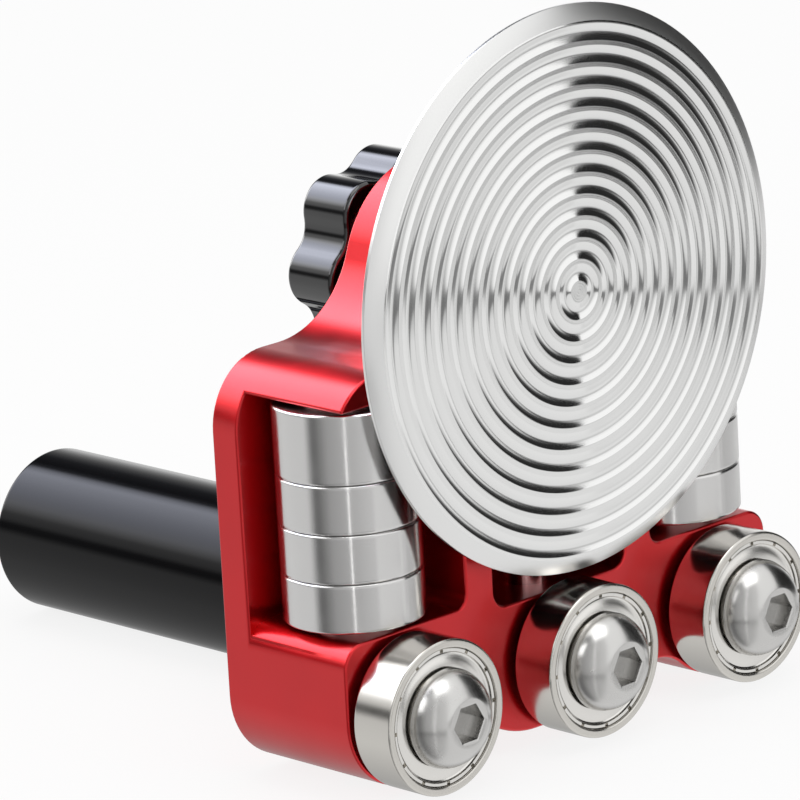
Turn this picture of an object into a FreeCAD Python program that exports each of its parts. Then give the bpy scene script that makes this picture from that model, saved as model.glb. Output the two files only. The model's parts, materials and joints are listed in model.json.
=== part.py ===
import FreeCAD, Part
import math
import os

# Hand-held roller folder for turning up the edge of sheet metal, in millimetres.
# X runs across the tool, Y runs back along the handle and Z is up.
# The origin is on the handle's axis, where it leaves the rear face of the frame.
# The sheet lies on three ball bearings under the rim of a large disc, and its edge
# turns up behind the disc against two stacks of rings and a middle roller.

# Fits and small clearances
RUNNING_FIT = 0.05
END_PLAY = 0.1
RING_PLAY = 0.05
LOOSE_FIT = 0.25
EDGE_BREAK = 0.3

# Ball bearings, all four alike
BEARING_BORE = 8.0
BEARING_OD = 22.0
BEARING_WIDTH = 7.0
INNER_RING_WALL = 2.05
OUTER_RING_WALL = 1.85
BALL_COUNT = 7
BALL_RADIUS = 1.9
RACE_CLEARANCE = 0.15
CAGE_WALL = 1.0
CAGE_WEB = 0.35
CAGE_GRIP = 1.0
SHIELD_SEAT_STEP = 0.6
SHIELD_SEAT_DEPTH = 0.9
SHIELD_SETBACK = 0.35
SHIELD_RIM_WIDTH = 0.55
SHIELD_TROUGH = 0.75
SHIELD_INNER_SETBACK = 0.5
SHIELD_GAP = 0.3
SHIELD_NOTCHES = 12
SHIELD_NOTCH_WIDTH = 0.6

# Front bearings and their screws
BEARING_PITCH = 31.4
SPACER_THICKNESS = 1.0
SPACER_OD = 12.0
SCREW_HEAD_OD = 14.0
SCREW_HEAD_HEIGHT = 4.4
SCREW_HEAD_EDGE = 0.5
SCREW_HEAD_TOP = 7.2
SCREW_HEAD_BULGE = 0.75
SCREW_SOCKET = 5.0
SCREW_SOCKET_DEPTH = 2.8
SOCKET_MOUTH = 0.35
SCREW_TIP_WALL = 1.4
SCREW_HOLE_RUNOUT = 0.5

# Forming disc
DISC_OD = 80.0
DISC_THICKNESS = 2.0
DISC_EDGE = 0.55
DISC_BEVEL = 2.5
GROOVE_FIRST_RADIUS = 2.75
GROOVE_PITCH = 3.03
GROOVE_COUNT = 12
GROOVE_WIDTH = 2.25
GROOVE_DEPTH = 0.14
DISC_FACE_WALL = 1.3
DISC_CAVITY_RADIUS = 9.0
HUB_WALL = 1.7
HUB_LIP = 0.7

# Gaps that the sheet passes through
SHEET_GAP = 2.1
FLANGE_GAP = 2.7

# Side ring stacks
RING_OD = 20.0
RING_HEIGHT = 7.0
PLAIN_RING_COUNT = 3
TOP_RING_HEIGHT = 10.0
LOWER_WASHER = 1.0
UPPER_WASHER = 0.4
STACK_WASHER_OD = 12.0
STACK_INSET = 0.4
ROLLER_PROUD = 1.6
AXLE_PIN_DIAMETER = 6.0
PIN_RECESS = 3.0
PIN_COVER = 1.5
PIN_HOLE_RUNOUT = 0.2

# Middle roller
MIDDLE_ROLLER_OD = 17.0
MIDDLE_ROLLER_LIFT = 4.1
MIDDLE_ROLLER_HEADROOM = 1.2
MIDDLE_PIN_SEAT = 4.0
MIDDLE_PIN_TOP_SETBACK = 0.3
CLIP_OD = 11.0
CLIP_THICKNESS = 0.7
CLIP_GROOVE_DEPTH = 0.5
CLIP_GAP = 3.6

# Frame block
NOTCH_BACK_GAP = 0.6
NOTCH_SIDE_GAP = 3.4
NOTCH_CORNER = 2.0
REAR_WALL = 5.0
LEDGE_RISE = 0.1
LEDGE_LIP = 3.5
POCKET_STEP = 1.7
POCKET_SIDE_GAP = 4.7
POCKET_BACK_GAP = 2.1
POCKET_CORNER = 2.5
POCKET_ROOF = 3.8
SHOULDER_WALL = 4.4
SHOULDER_CORNER = 10.0
NECK_RADIUS = 15.0
HEAD_RADIUS = 16.0
FOOT_DROP = 9.8
FOOT_FLAT = 12.0
FOOT_CORNER = 16.0
VALLEY_RADIUS = 7.8
FRAME_EDGE_ROUND = 0.4
HUB_RECESS_GAP = 0.6
HUB_END_CLEARANCE = 2.7

# Spindle, its bush and its spring
SPINDLE_FRONT_GAP = 0.3
SPINDLE_TIP = 0.5
CIRCLIP_THICKNESS = 0.8
CIRCLIP_GROOVE_DEPTH = 0.4
CIRCLIP_BAND = 1.8
CIRCLIP_GAP = 2.5
HUB_CIRCLIP_THICKNESS = 1.0
HUB_CIRCLIP_GROOVE_DEPTH = 0.5
HUB_CIRCLIP_BAND = 2.5
HUB_CIRCLIP_GAP = 4.0
COLLAR_DIAMETER = 11.0
COLLAR_LENGTH = 1.4
FLANGE_DIAMETER = 16.0
FLANGE_THICKNESS = 1.5
SHANK_DIAMETER = 10.0
SHANK_END_SETBACK = 1.0
THREAD_DIAMETER = 8.0
THREAD_PITCH = 1.25
THREAD_LENGTH = 9.5
TURNS_TO_CLOSE = 1.5
TURNS_TO_OPEN = 0.75
SPRING_WIRE = 1.2
SPRING_TURNS = 4
SPRING_POCKET_DEPTH = 5.0
SPRING_POCKET_GAP = 0.5
SPRING_SEAT_GAP = 0.1
SPRING_OUTER_GAP = 0.65
BUSH_WALL = 2.0
GUIDE_SCREW_DIAMETER = 4.0
GUIDE_SCREW_RECESS = 1.5
GUIDE_SCREW_SETBACK = 4.5
GUIDE_DOG_DIAMETER = 2.5
GUIDE_DOG_REACH = 1.5
GUIDE_SIDE_GAP = 0.1
GUIDE_END_GAP = 0.25
GUIDE_SOCKET = 2.0
GUIDE_SOCKET_DEPTH = 2.0

# Adjusting knob
THRUST_WASHER_THICKNESS = 1.0
THRUST_WASHER_OD = 20.0
KNOB_LOBES = 7
KNOB_CREST_RADIUS = 15.6
KNOB_VALLEY_RADIUS = 13.24
KNOB_LOBE_ROUND = 4.8
KNOB_TURN = -22.5
KNOB_STANDOFF = 3.0
KNOB_DEPTH = 9.1
KNOB_EDGE_ROUND = 0.8
KNOB_HUB_RADIUS = 11.5
KNOB_END_WALL = 1.1
INSERT_WALL = 2.0
INSERT_SETBACK = 0.5
INSERT_LENGTH = 8.5

# Handle
HANDLE_OD = 24.5
HANDLE_LENGTH = 84.4
HANDLE_WALL = 3.0
HANDLE_END_ROUND = 0.8
CORE_LENGTH = 25.0
CAP_PLUG_LENGTH = 6.0
STUD_DIAMETER = 12.0
STUD_IN_FRAME = 13.0
STUD_IN_CORE = 18.0
STUD_RUNOUT = 0.5

# Heights that follow
BEARING_RADIUS = BEARING_OD / 2
DISC_RADIUS = DISC_OD / 2
DISC_Z = BEARING_RADIUS + SHEET_GAP + DISC_RADIUS
LEDGE_Z = BEARING_RADIUS + LEDGE_RISE
STACK_BOTTOM = LEDGE_Z + LOWER_WASHER
STACK_TOP = STACK_BOTTOM + PLAIN_RING_COUNT * RING_HEIGHT + TOP_RING_HEIGHT
NOTCH_TOP = STACK_TOP + UPPER_WASHER + END_PLAY
SHOULDER_Z = NOTCH_TOP + SHOULDER_WALL
HUB_RADIUS = BEARING_RADIUS + HUB_WALL
HUB_RECESS_RADIUS = HUB_RADIUS + HUB_RECESS_GAP
POCKET_FLOOR = LEDGE_Z - POCKET_STEP
POCKET_TOP = DISC_Z - HUB_RECESS_RADIUS - POCKET_ROOF

# Depths that follow, from the frame's rear face at y = 0
FRAME_DEPTH = REAR_WALL + NOTCH_BACK_GAP + RING_OD - ROLLER_PROUD
FRAME_FRONT = -FRAME_DEPTH
NOTCH_BACK = -REAR_WALL
ROLLER_FRONT = FRAME_FRONT - ROLLER_PROUD
STACK_Y = ROLLER_FRONT + RING_OD / 2
MIDDLE_Y = ROLLER_FRONT + MIDDLE_ROLLER_OD / 2
BEARING_BACK = FRAME_FRONT - SPACER_THICKNESS
BEARING_FRONT = BEARING_BACK - BEARING_WIDTH
SCREW_TIP = STACK_Y - AXLE_PIN_DIAMETER / 2 - SCREW_TIP_WALL
DISC_BACK = ROLLER_FRONT - FLANGE_GAP
DISC_FRONT = DISC_BACK - DISC_THICKNESS
DISC_CAVITY_FRONT = DISC_FRONT + DISC_FACE_WALL
SPINDLE_FRONT = DISC_CAVITY_FRONT + SPINDLE_FRONT_GAP
DISC_BEARING_FRONT = SPINDLE_FRONT + SPINDLE_TIP + CIRCLIP_THICKNESS
DISC_BEARING_BACK = DISC_BEARING_FRONT + BEARING_WIDTH
HUB_CIRCLIP_FRONT = DISC_BEARING_BACK + END_PLAY
HUB_CIRCLIP_BACK = HUB_CIRCLIP_FRONT + HUB_CIRCLIP_THICKNESS
HUB_BACK = HUB_CIRCLIP_BACK + HUB_LIP
COLLAR_BACK = DISC_BEARING_BACK + COLLAR_LENGTH
FLANGE_BACK = COLLAR_BACK + FLANGE_THICKNESS
TRAVEL_BACK = TURNS_TO_CLOSE * THREAD_PITCH
TRAVEL_FRONT = TURNS_TO_OPEN * THREAD_PITCH
HUB_RECESS_BACK = HUB_BACK + TRAVEL_BACK + HUB_END_CLEARANCE
SPRING_POCKET_BACK = HUB_RECESS_BACK + SPRING_POCKET_DEPTH
GUIDE_Y = -GUIDE_SCREW_SETBACK
SHANK_BACK = -SHANK_END_SETBACK
KNOB_HUB_FRONT = THRUST_WASHER_THICKNESS
KNOB_BACK = KNOB_STANDOFF + KNOB_DEPTH
INSERT_FRONT = KNOB_HUB_FRONT + INSERT_SETBACK
INSERT_BACK = INSERT_FRONT + INSERT_LENGTH

# Widths that follow
FRAME_HALF_WIDTH = BEARING_PITCH + BEARING_RADIUS
STACK_X = FRAME_HALF_WIDTH - STACK_INSET - RING_OD / 2
NOTCH_INNER_X = STACK_X - RING_OD / 2 - NOTCH_SIDE_GAP
POCKET_HALF_WIDTH = MIDDLE_ROLLER_OD / 2 + POCKET_SIDE_GAP

# Radii that follow
BORE_RADIUS = BEARING_BORE / 2
PITCH_RADIUS = (BORE_RADIUS + BEARING_RADIUS) / 2
INNER_RING_RADIUS = BORE_RADIUS + INNER_RING_WALL
OUTER_RING_INNER_RADIUS = BEARING_RADIUS - OUTER_RING_WALL
SHIELD_SEAT_RADIUS = OUTER_RING_INNER_RADIUS + SHIELD_SEAT_STEP
RACE_RADIUS = BALL_RADIUS + RACE_CLEARANCE
PIN_RADIUS = AXLE_PIN_DIAMETER / 2
PIN_BORE_RADIUS = PIN_RADIUS + RUNNING_FIT
SHANK_RADIUS = SHANK_DIAMETER / 2
THREAD_RADIUS = THREAD_DIAMETER / 2
BUSH_RADIUS = SHANK_RADIUS + RUNNING_FIT + BUSH_WALL
GUIDE_RADIUS = GUIDE_SCREW_DIAMETER / 2
INSERT_RADIUS = THREAD_RADIUS + RUNNING_FIT + INSERT_WALL
SPRING_POCKET_RADIUS = FLANGE_DIAMETER / 2 + SPRING_POCKET_GAP
HANDLE_RADIUS = HANDLE_OD / 2
HANDLE_BORE_RADIUS = HANDLE_RADIUS - HANDLE_WALL
STUD_RADIUS = STUD_DIAMETER / 2

# Reach of a cutting tool past the face that it enters through
OVERCUT = 1.0

V = FreeCAD.Vector
X_AXIS = V(1, 0, 0)
Y_AXIS = V(0, 1, 0)
Z_AXIS = V(0, 0, 1)

os.makedirs("parts", exist_ok=True)


def save(node, *solids):
    """Write one named piece, or one group of like pieces."""
    shape = solids[0] if len(solids) == 1 else Part.makeCompound(list(solids))
    shape.exportStep("parts/" + node + ".step")
    print(node, len(shape.Solids), round(shape.Volume, 3), shape.isValid())


def cylinder_y(radius, start, end, x=0.0, z=0.0):
    """Round bar along Y."""
    return Part.makeCylinder(radius, end - start, V(x, start, z), Y_AXIS)


def cylinder_z(radius, start, end, x=0.0, y=0.0):
    """Round bar along Z."""
    return Part.makeCylinder(radius, end - start, V(x, y, start), Z_AXIS)


def block(x_range, y_range, z_range):
    """Box between two limits on each axis."""
    size = [high - low for low, high in (x_range, y_range, z_range)]
    return Part.makeBox(*size, V(x_range[0], y_range[0], z_range[0]))


def turned_y(profile, x=0.0, z=0.0):
    """Solid of revolution about Y, from corners given as radius and y.

    A corner given as four numbers is reached along an arc, which passes the first two.
    """
    edges = []
    for index, corner in enumerate(profile):
        before = profile[index - 1][-2:]
        first = V(x + before[0], before[1], z)
        last = V(x + corner[-2], corner[-1], z)
        if len(corner) == 4:
            edges.append(Part.Arc(first, V(x + corner[0], corner[1], z), last).toShape())
        else:
            edges.append(Part.makeLine(first, last))
    face = Part.Face(Part.Wire(edges))
    return face.revolve(V(x, 0, z), Y_AXIS, 360)


def turned_z(profile, x=0.0, y=0.0):
    """Solid of revolution about Z, from corners given as radius and z."""
    corners = [V(x + radius, y, z) for radius, z in profile]
    face = Part.Face(Part.makePolygon(corners + corners[:1]))
    return face.revolve(V(x, y, 0), Z_AXIS, 360)


def ring_profile(inner, outer, start, end, bevel):
    """Section of a ring whose outer edges carry a bevel."""
    return [
        (inner, start),
        (outer - bevel, start),
        (outer, start + bevel),
        (outer, end - bevel),
        (outer - bevel, end),
        (inner, end),
    ]


def hexagon_y(across_flats, start, end, x, z):
    """Six-sided bar along Y, for a hex socket."""
    corner_radius = across_flats / math.sqrt(3)
    corners = []
    for index in range(6):
        angle = index * math.pi / 3
        corners.append(V(x + corner_radius * math.cos(angle), start, z + corner_radius * math.sin(angle)))
    face = Part.Face(Part.makePolygon(corners + corners[:1]))
    return face.extrude(V(0, end - start, 0))


def level_edges(shape, y):
    """Edges that lie wholly in the plane at y."""
    found = []
    for edge in shape.Edges:
        box = edge.BoundBox
        if abs(box.YMin - y) < 1e-6 and abs(box.YMax - y) < 1e-6:
            found.append(edge)
    return found


def round_y_edges(shape, radius, wanted):
    """Round the edges along Y whose x and z pass the test."""
    chosen = []
    for edge in shape.Edges:
        first = edge.Vertexes[0].Point
        last = edge.Vertexes[-1].Point
        runs_along_y = abs(first.x - last.x) < 1e-6 and abs(first.z - last.z) < 1e-6
        if runs_along_y and wanted(first.x, first.z):
            chosen.append(edge)
    return shape.makeFillet(radius, chosen)


def split_ring_y(outer, inner, start, end, gap, x, z):
    """Retaining ring about Y, open over a gap at its top."""
    ring = cylinder_y(outer, start, end, x, z).cut(cylinder_y(inner, start, end, x, z))
    return ring.cut(block((x - gap / 2, x + gap / 2), (start, end), (z, z + outer + OVERCUT)))


def bearing_shield(front, inward, x, z):
    """Pressed shield of a bearing, set back from the ring face at front."""
    trough_radius = SHIELD_SEAT_RADIUS - SHIELD_RIM_WIDTH
    shield = turned_y(
        [
            (SHIELD_SEAT_RADIUS, front + inward * SHIELD_SETBACK),
            (SHIELD_SEAT_RADIUS, front + inward * SHIELD_SEAT_DEPTH),
            (INNER_RING_RADIUS + SHIELD_GAP, front + inward * SHIELD_SEAT_DEPTH),
            (INNER_RING_RADIUS + SHIELD_GAP, front + inward * SHIELD_INNER_SETBACK),
            (trough_radius - EDGE_BREAK, front + inward * SHIELD_TROUGH),
            (trough_radius, front + inward * SHIELD_SETBACK),
        ],
        x,
        z,
    )
    depths = (front + inward * SHIELD_SETBACK, front + inward * SHIELD_SEAT_DEPTH)
    for index in range(SHIELD_NOTCHES):
        notch = block(
            (x + trough_radius, x + BEARING_RADIUS),
            (min(depths), max(depths)),
            (z - SHIELD_NOTCH_WIDTH / 2, z + SHIELD_NOTCH_WIDTH / 2),
        )
        notch.rotate(V(x, 0, z), Y_AXIS, index * 360 / SHIELD_NOTCHES)
        shield = shield.cut(notch)
    return shield


def bearing(name, front, x, z):
    """Shielded deep-groove ball bearing with its axis along Y, its front face at front and a crown cage."""
    back = front + BEARING_WIDTH
    middle = (front + back) / 2
    race = Part.makeTorus(PITCH_RADIUS, RACE_RADIUS, V(x, middle, z), Y_AXIS)

    inner = turned_y(ring_profile(BORE_RADIUS, INNER_RING_RADIUS, front, back, EDGE_BREAK), x, z)
    save(name + "_inner_ring", inner.cut(race))

    outer = turned_y(ring_profile(OUTER_RING_INNER_RADIUS, BEARING_RADIUS, front, back, EDGE_BREAK), x, z)
    outer = outer.cut(race)
    outer = outer.cut(cylinder_y(SHIELD_SEAT_RADIUS, front, front + SHIELD_SEAT_DEPTH, x, z))
    outer = outer.cut(cylinder_y(SHIELD_SEAT_RADIUS, back - SHIELD_SEAT_DEPTH, back, x, z))
    save(name + "_outer_ring", outer)

    save(name + "_shields", bearing_shield(front, 1, x, z), bearing_shield(back, -1, x, z))

    cage_front = middle - RACE_RADIUS - CAGE_WEB
    cage = cylinder_y(PITCH_RADIUS + CAGE_WALL / 2, cage_front, middle + CAGE_GRIP, x, z)
    cage = cage.cut(cylinder_y(PITCH_RADIUS - CAGE_WALL / 2, cage_front, middle + CAGE_GRIP, x, z))
    balls = []
    for index in range(BALL_COUNT):
        angle = 2 * math.pi * index / BALL_COUNT
        outward = V(math.cos(angle), 0, math.sin(angle))
        axis_point = V(x, middle, z)
        pocket_start = axis_point + outward * (PITCH_RADIUS - CAGE_WALL)
        cage = cage.cut(Part.makeCylinder(RACE_RADIUS, 2 * CAGE_WALL, pocket_start, outward))
        balls.append(Part.makeSphere(BALL_RADIUS, axis_point + outward * PITCH_RADIUS))
    save(name + "_cage", cage)
    save(name + "_balls", *balls)


def bearing_screw(x):
    """Button head screw that clamps a front bearing and its spacer to the frame."""
    seat = BEARING_FRONT
    top = seat - SCREW_HEAD_HEIGHT
    rim = V(SCREW_HEAD_OD / 2, seat - SCREW_HEAD_EDGE, 0)
    crown = V(SCREW_HEAD_TOP / 2, top, 0)
    chord = crown - rim
    outward = V(-chord.y, chord.x, 0).normalize()
    dome = (rim + crown) * 0.5 + outward * SCREW_HEAD_BULGE
    screw = turned_y(
        [
            (0, top),
            (0, SCREW_TIP),
            (BORE_RADIUS - EDGE_BREAK, SCREW_TIP),
            (BORE_RADIUS, SCREW_TIP - EDGE_BREAK),
            (BORE_RADIUS, seat),
            (rim.x, seat),
            (rim.x, rim.y),
            (dome.x, dome.y, crown.x, crown.y),
        ],
        x,
    )
    screw = screw.cut(hexagon_y(SCREW_SOCKET, top, top + SCREW_SOCKET_DEPTH, x, 0))
    mouth_radius = SCREW_SOCKET / math.sqrt(3) + SOCKET_MOUTH / 2
    mouth = Part.makeCone(mouth_radius, mouth_radius - SOCKET_MOUTH, SOCKET_MOUTH, V(x, top, 0), Y_AXIS)
    return screw.cut(mouth)


def arc_edge(centre, radius, start, end):
    """Arc in the frame's outline, about an x, z centre, between two angles in radians."""
    points = []
    for angle in (start, (start + end) / 2, end):
        points.append(V(centre[0] + radius * math.cos(angle), 0, centre[1] + radius * math.sin(angle)))
    return Part.Arc(*points).toShape()


def frame_outline():
    """Front view of the frame block, built for x > 0 and mirrored."""
    lobe = (BEARING_PITCH, 0.0)
    foot = (FOOT_FLAT / 2, FOOT_CORNER - FOOT_DROP)

    # The valley's circle touches both the foot's corner and the lobe round the bearing
    reach_foot = FOOT_CORNER + VALLEY_RADIUS
    reach_lobe = BEARING_RADIUS + VALLEY_RADIUS
    span = math.hypot(lobe[0] - foot[0], lobe[1] - foot[1])
    along = (reach_foot**2 - reach_lobe**2 + span**2) / (2 * span)
    aside = math.sqrt(reach_foot**2 - along**2)
    run = ((lobe[0] - foot[0]) / span, (lobe[1] - foot[1]) / span)
    valley = (foot[0] + along * run[0] + aside * run[1], foot[1] + along * run[1] - aside * run[0])
    foot_to_valley = math.atan2(valley[1] - foot[1], valley[0] - foot[0])
    lobe_to_valley = math.atan2(valley[1] - lobe[1], valley[0] - lobe[0])

    # The neck's circle touches the shoulder's top and the head, and its radius gives way
    # where the shoulder is short
    shoulder_run = FRAME_HALF_WIDTH - SHOULDER_CORNER
    rise = SHOULDER_Z - DISC_Z
    neck_limit = (shoulder_run**2 - HEAD_RADIUS**2 + rise**2) / (2 * (HEAD_RADIUS - rise))
    neck_radius = min(NECK_RADIUS, neck_limit)
    neck_z = SHOULDER_Z + neck_radius
    neck_x = math.sqrt((HEAD_RADIUS + neck_radius) ** 2 - (neck_z - DISC_Z) ** 2)
    head_to_neck = math.atan2(neck_z - DISC_Z, neck_x)

    corner = (FRAME_HALF_WIDTH - SHOULDER_CORNER, SHOULDER_Z - SHOULDER_CORNER)
    quarter = math.pi / 2
    half = [
        Part.makeLine(V(0, 0, -FOOT_DROP), V(foot[0], 0, -FOOT_DROP)),
        arc_edge(foot, FOOT_CORNER, -quarter, foot_to_valley),
        arc_edge(valley, VALLEY_RADIUS, foot_to_valley + math.pi, lobe_to_valley + math.pi),
        arc_edge(lobe, BEARING_RADIUS, lobe_to_valley, 0.0),
        Part.makeLine(V(FRAME_HALF_WIDTH, 0, 0), V(FRAME_HALF_WIDTH, 0, corner[1])),
        arc_edge(corner, SHOULDER_CORNER, 0.0, quarter),
        arc_edge((neck_x, neck_z), neck_radius, -quarter, head_to_neck - math.pi),
        arc_edge((0.0, DISC_Z), HEAD_RADIUS, head_to_neck, quarter),
    ]
    if corner[0] - neck_x > 1e-6:
        half.append(Part.makeLine(V(corner[0], 0, SHOULDER_Z), V(neck_x, 0, SHOULDER_Z)))
    mirrored = [edge.mirror(V(0, 0, 0), X_AXIS) for edge in half]
    return Part.Wire(Part.sortEdges(half + mirrored)[0])


def side_notch(side):
    """Space for one ring stack, open to the front and to the side."""
    inner = side * NOTCH_INNER_X
    outer = side * (FRAME_HALF_WIDTH + OVERCUT)
    notch = block(
        (min(inner, outer), max(inner, outer)),
        (FRAME_FRONT - OVERCUT, NOTCH_BACK),
        (LEDGE_Z, NOTCH_TOP),
    )
    return round_y_edges(notch, NOTCH_CORNER, lambda x, z: abs(x - inner) < 1e-6)


def ledge_lip(side):
    """What is cut away to round the outer edge of a notch's ledge."""
    centre_x = side * (FRAME_HALF_WIDTH - LEDGE_LIP)
    edge_x = side * (FRAME_HALF_WIDTH + OVERCUT)
    corner = block(
        (min(centre_x, edge_x), max(centre_x, edge_x)),
        (FRAME_FRONT - OVERCUT, NOTCH_BACK),
        (LEDGE_Z - LEDGE_LIP, LEDGE_Z + OVERCUT),
    )
    return corner.cut(cylinder_y(LEDGE_LIP, FRAME_FRONT - OVERCUT, NOTCH_BACK, centre_x, LEDGE_Z - LEDGE_LIP))


def rounded_edges(frame):
    """Edges of the front face, without the screw bores, and the outer edges of the side notches."""
    chosen = []
    for edge in level_edges(frame, FRAME_FRONT):
        if not edge.isClosed() or edge.Length > 2 * math.pi * HUB_RECESS_RADIUS - 1e-6:
            chosen.append(edge)
    for edge in frame.Edges:
        box = edge.BoundBox
        outside = max(abs(box.XMin), abs(box.XMax)) > FRAME_HALF_WIDTH - LEDGE_LIP and box.XLength < LEDGE_LIP
        at_back = abs(box.YMin - NOTCH_BACK) < 1e-6 and abs(box.YMax - NOTCH_BACK) < 1e-6
        at_top = abs(box.ZMin - NOTCH_TOP) < 1e-6 and abs(box.ZMax - NOTCH_TOP) < 1e-6
        if outside and (at_back or at_top) and box.ZMax > LEDGE_Z:
            chosen.append(edge)
    return chosen


def frame_block():
    """One-piece frame with the notches, pockets and bores that hold everything else."""
    frame = Part.Face(frame_outline()).extrude(V(0, -FRAME_DEPTH, 0))
    frame = frame.makeFillet(FRAME_EDGE_ROUND, level_edges(frame, 0))

    pocket = block(
        (-POCKET_HALF_WIDTH, POCKET_HALF_WIDTH),
        (FRAME_FRONT - OVERCUT, MIDDLE_Y + MIDDLE_ROLLER_OD / 2 + POCKET_BACK_GAP),
        (POCKET_FLOOR, POCKET_TOP),
    )
    cuts = [round_y_edges(pocket, POCKET_CORNER, lambda x, z: True)]
    for side in (-1, 1):
        cuts.append(side_notch(side))
        cuts.append(ledge_lip(side))
        pin_top = SHOULDER_Z - PIN_COVER + PIN_HOLE_RUNOUT
        cuts.append(cylinder_z(PIN_RADIUS, -BEARING_RADIUS - OVERCUT, pin_top, side * STACK_X, STACK_Y))
    cuts.append(cylinder_z(PIN_RADIUS, POCKET_FLOOR - MIDDLE_PIN_SEAT, DISC_Z - HUB_RECESS_RADIUS / 2, 0, MIDDLE_Y))

    cuts.append(cylinder_y(HUB_RECESS_RADIUS, FRAME_FRONT - OVERCUT, HUB_RECESS_BACK, 0, DISC_Z))
    cuts.append(cylinder_y(SPRING_POCKET_RADIUS, HUB_RECESS_BACK, SPRING_POCKET_BACK, 0, DISC_Z))
    cuts.append(cylinder_y(BUSH_RADIUS, SPRING_POCKET_BACK, OVERCUT, 0, DISC_Z))
    cuts.append(cylinder_z(GUIDE_RADIUS, DISC_Z, DISC_Z + HEAD_RADIUS + OVERCUT, 0, GUIDE_Y))

    for x in (-BEARING_PITCH, 0, BEARING_PITCH):
        cuts.append(cylinder_y(BORE_RADIUS, FRAME_FRONT - OVERCUT, SCREW_TIP + SCREW_HOLE_RUNOUT, x))
    cuts.append(cylinder_y(STUD_RADIUS, -STUD_IN_FRAME - STUD_RUNOUT, OVERCUT))

    for cut in cuts:
        frame = frame.cut(cut)
    frame = frame.removeSplitter()
    return frame.makeFillet(FRAME_EDGE_ROUND, rounded_edges(frame))


def forming_disc():
    """Disc with a grooved face, a bevelled rim and a shallow cavity in its back."""
    profile = [(0, DISC_FRONT)]
    for index in range(GROOVE_COUNT):
        middle = GROOVE_FIRST_RADIUS + index * GROOVE_PITCH
        profile.append((middle - GROOVE_WIDTH / 2, DISC_FRONT))
        profile.append((middle, DISC_FRONT + GROOVE_DEPTH, middle + GROOVE_WIDTH / 2, DISC_FRONT))
    profile += [
        (DISC_RADIUS - DISC_BEVEL, DISC_FRONT),
        (DISC_RADIUS, DISC_BACK - DISC_EDGE),
        (DISC_RADIUS, DISC_BACK),
        (DISC_CAVITY_RADIUS, DISC_BACK),
        (DISC_CAVITY_RADIUS, DISC_CAVITY_FRONT),
        (0, DISC_CAVITY_FRONT),
    ]
    return turned_y(profile, 0, DISC_Z)


def disc_hub():
    """Hub on the disc's back, with a seat for the bearing and a groove for its retaining ring."""
    profile = [
        (DISC_CAVITY_RADIUS, DISC_BACK),
        (HUB_RADIUS, DISC_BACK),
        (HUB_RADIUS, HUB_BACK - EDGE_BREAK),
        (HUB_RADIUS - EDGE_BREAK, HUB_BACK),
        (BEARING_RADIUS, HUB_BACK),
        (BEARING_RADIUS, HUB_CIRCLIP_BACK),
        (BEARING_RADIUS + HUB_CIRCLIP_GROOVE_DEPTH, HUB_CIRCLIP_BACK),
        (BEARING_RADIUS + HUB_CIRCLIP_GROOVE_DEPTH, HUB_CIRCLIP_FRONT),
        (BEARING_RADIUS, HUB_CIRCLIP_FRONT),
        (BEARING_RADIUS, DISC_BEARING_FRONT),
        (DISC_CAVITY_RADIUS, DISC_BEARING_FRONT),
    ]
    return turned_y(profile, 0, DISC_Z)


def spindle():
    """Sliding spindle that carries the disc's bearing and takes the knob's thread."""
    circlip_front = DISC_BEARING_FRONT - CIRCLIP_THICKNESS
    thread_end = SHANK_BACK + THREAD_LENGTH
    profile = [
        (0, SPINDLE_FRONT),
        (BORE_RADIUS, SPINDLE_FRONT),
        (BORE_RADIUS, circlip_front),
        (BORE_RADIUS - CIRCLIP_GROOVE_DEPTH, circlip_front),
        (BORE_RADIUS - CIRCLIP_GROOVE_DEPTH, DISC_BEARING_FRONT),
        (BORE_RADIUS, DISC_BEARING_FRONT),
        (BORE_RADIUS, DISC_BEARING_BACK),
        (COLLAR_DIAMETER / 2, DISC_BEARING_BACK),
        (COLLAR_DIAMETER / 2, COLLAR_BACK),
        (FLANGE_DIAMETER / 2, COLLAR_BACK),
        (FLANGE_DIAMETER / 2, FLANGE_BACK),
        (SHANK_RADIUS, FLANGE_BACK),
        (SHANK_RADIUS, SHANK_BACK),
        (THREAD_RADIUS, SHANK_BACK),
        (THREAD_RADIUS, thread_end - EDGE_BREAK),
        (THREAD_RADIUS - EDGE_BREAK, thread_end),
        (0, thread_end),
    ]
    half_width = GUIDE_DOG_DIAMETER / 2 + GUIDE_SIDE_GAP
    end_reach = GUIDE_DOG_DIAMETER / 2 + GUIDE_END_GAP
    slot_bottom = DISC_Z + SHANK_RADIUS - GUIDE_DOG_REACH - GUIDE_END_GAP
    slot = block(
        (-half_width, half_width),
        (GUIDE_Y - end_reach - TRAVEL_BACK, GUIDE_Y + end_reach + TRAVEL_FRONT),
        (slot_bottom, DISC_Z + SHANK_RADIUS + OVERCUT),
    )
    return turned_y(profile, 0, DISC_Z).cut(slot)


def guide_screw():
    """Set screw in the head whose tip keeps the spindle from turning."""
    top = DISC_Z + HEAD_RADIUS - GUIDE_SCREW_RECESS
    shoulder = DISC_Z + SHANK_RADIUS + EDGE_BREAK
    tip = DISC_Z + SHANK_RADIUS - GUIDE_DOG_REACH
    dog_radius = GUIDE_DOG_DIAMETER / 2
    screw = turned_z(
        [(0, top), (GUIDE_RADIUS, top), (GUIDE_RADIUS, shoulder), (dog_radius, shoulder), (dog_radius, tip), (0, tip)],
        0,
        GUIDE_Y,
    )
    socket = hexagon_y(GUIDE_SOCKET, 0, GUIDE_SOCKET_DEPTH, 0, 0)
    socket.rotate(V(0, 0, 0), X_AXIS, -90)
    socket.translate(V(0, GUIDE_Y, top))
    return screw.cut(socket)


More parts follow.
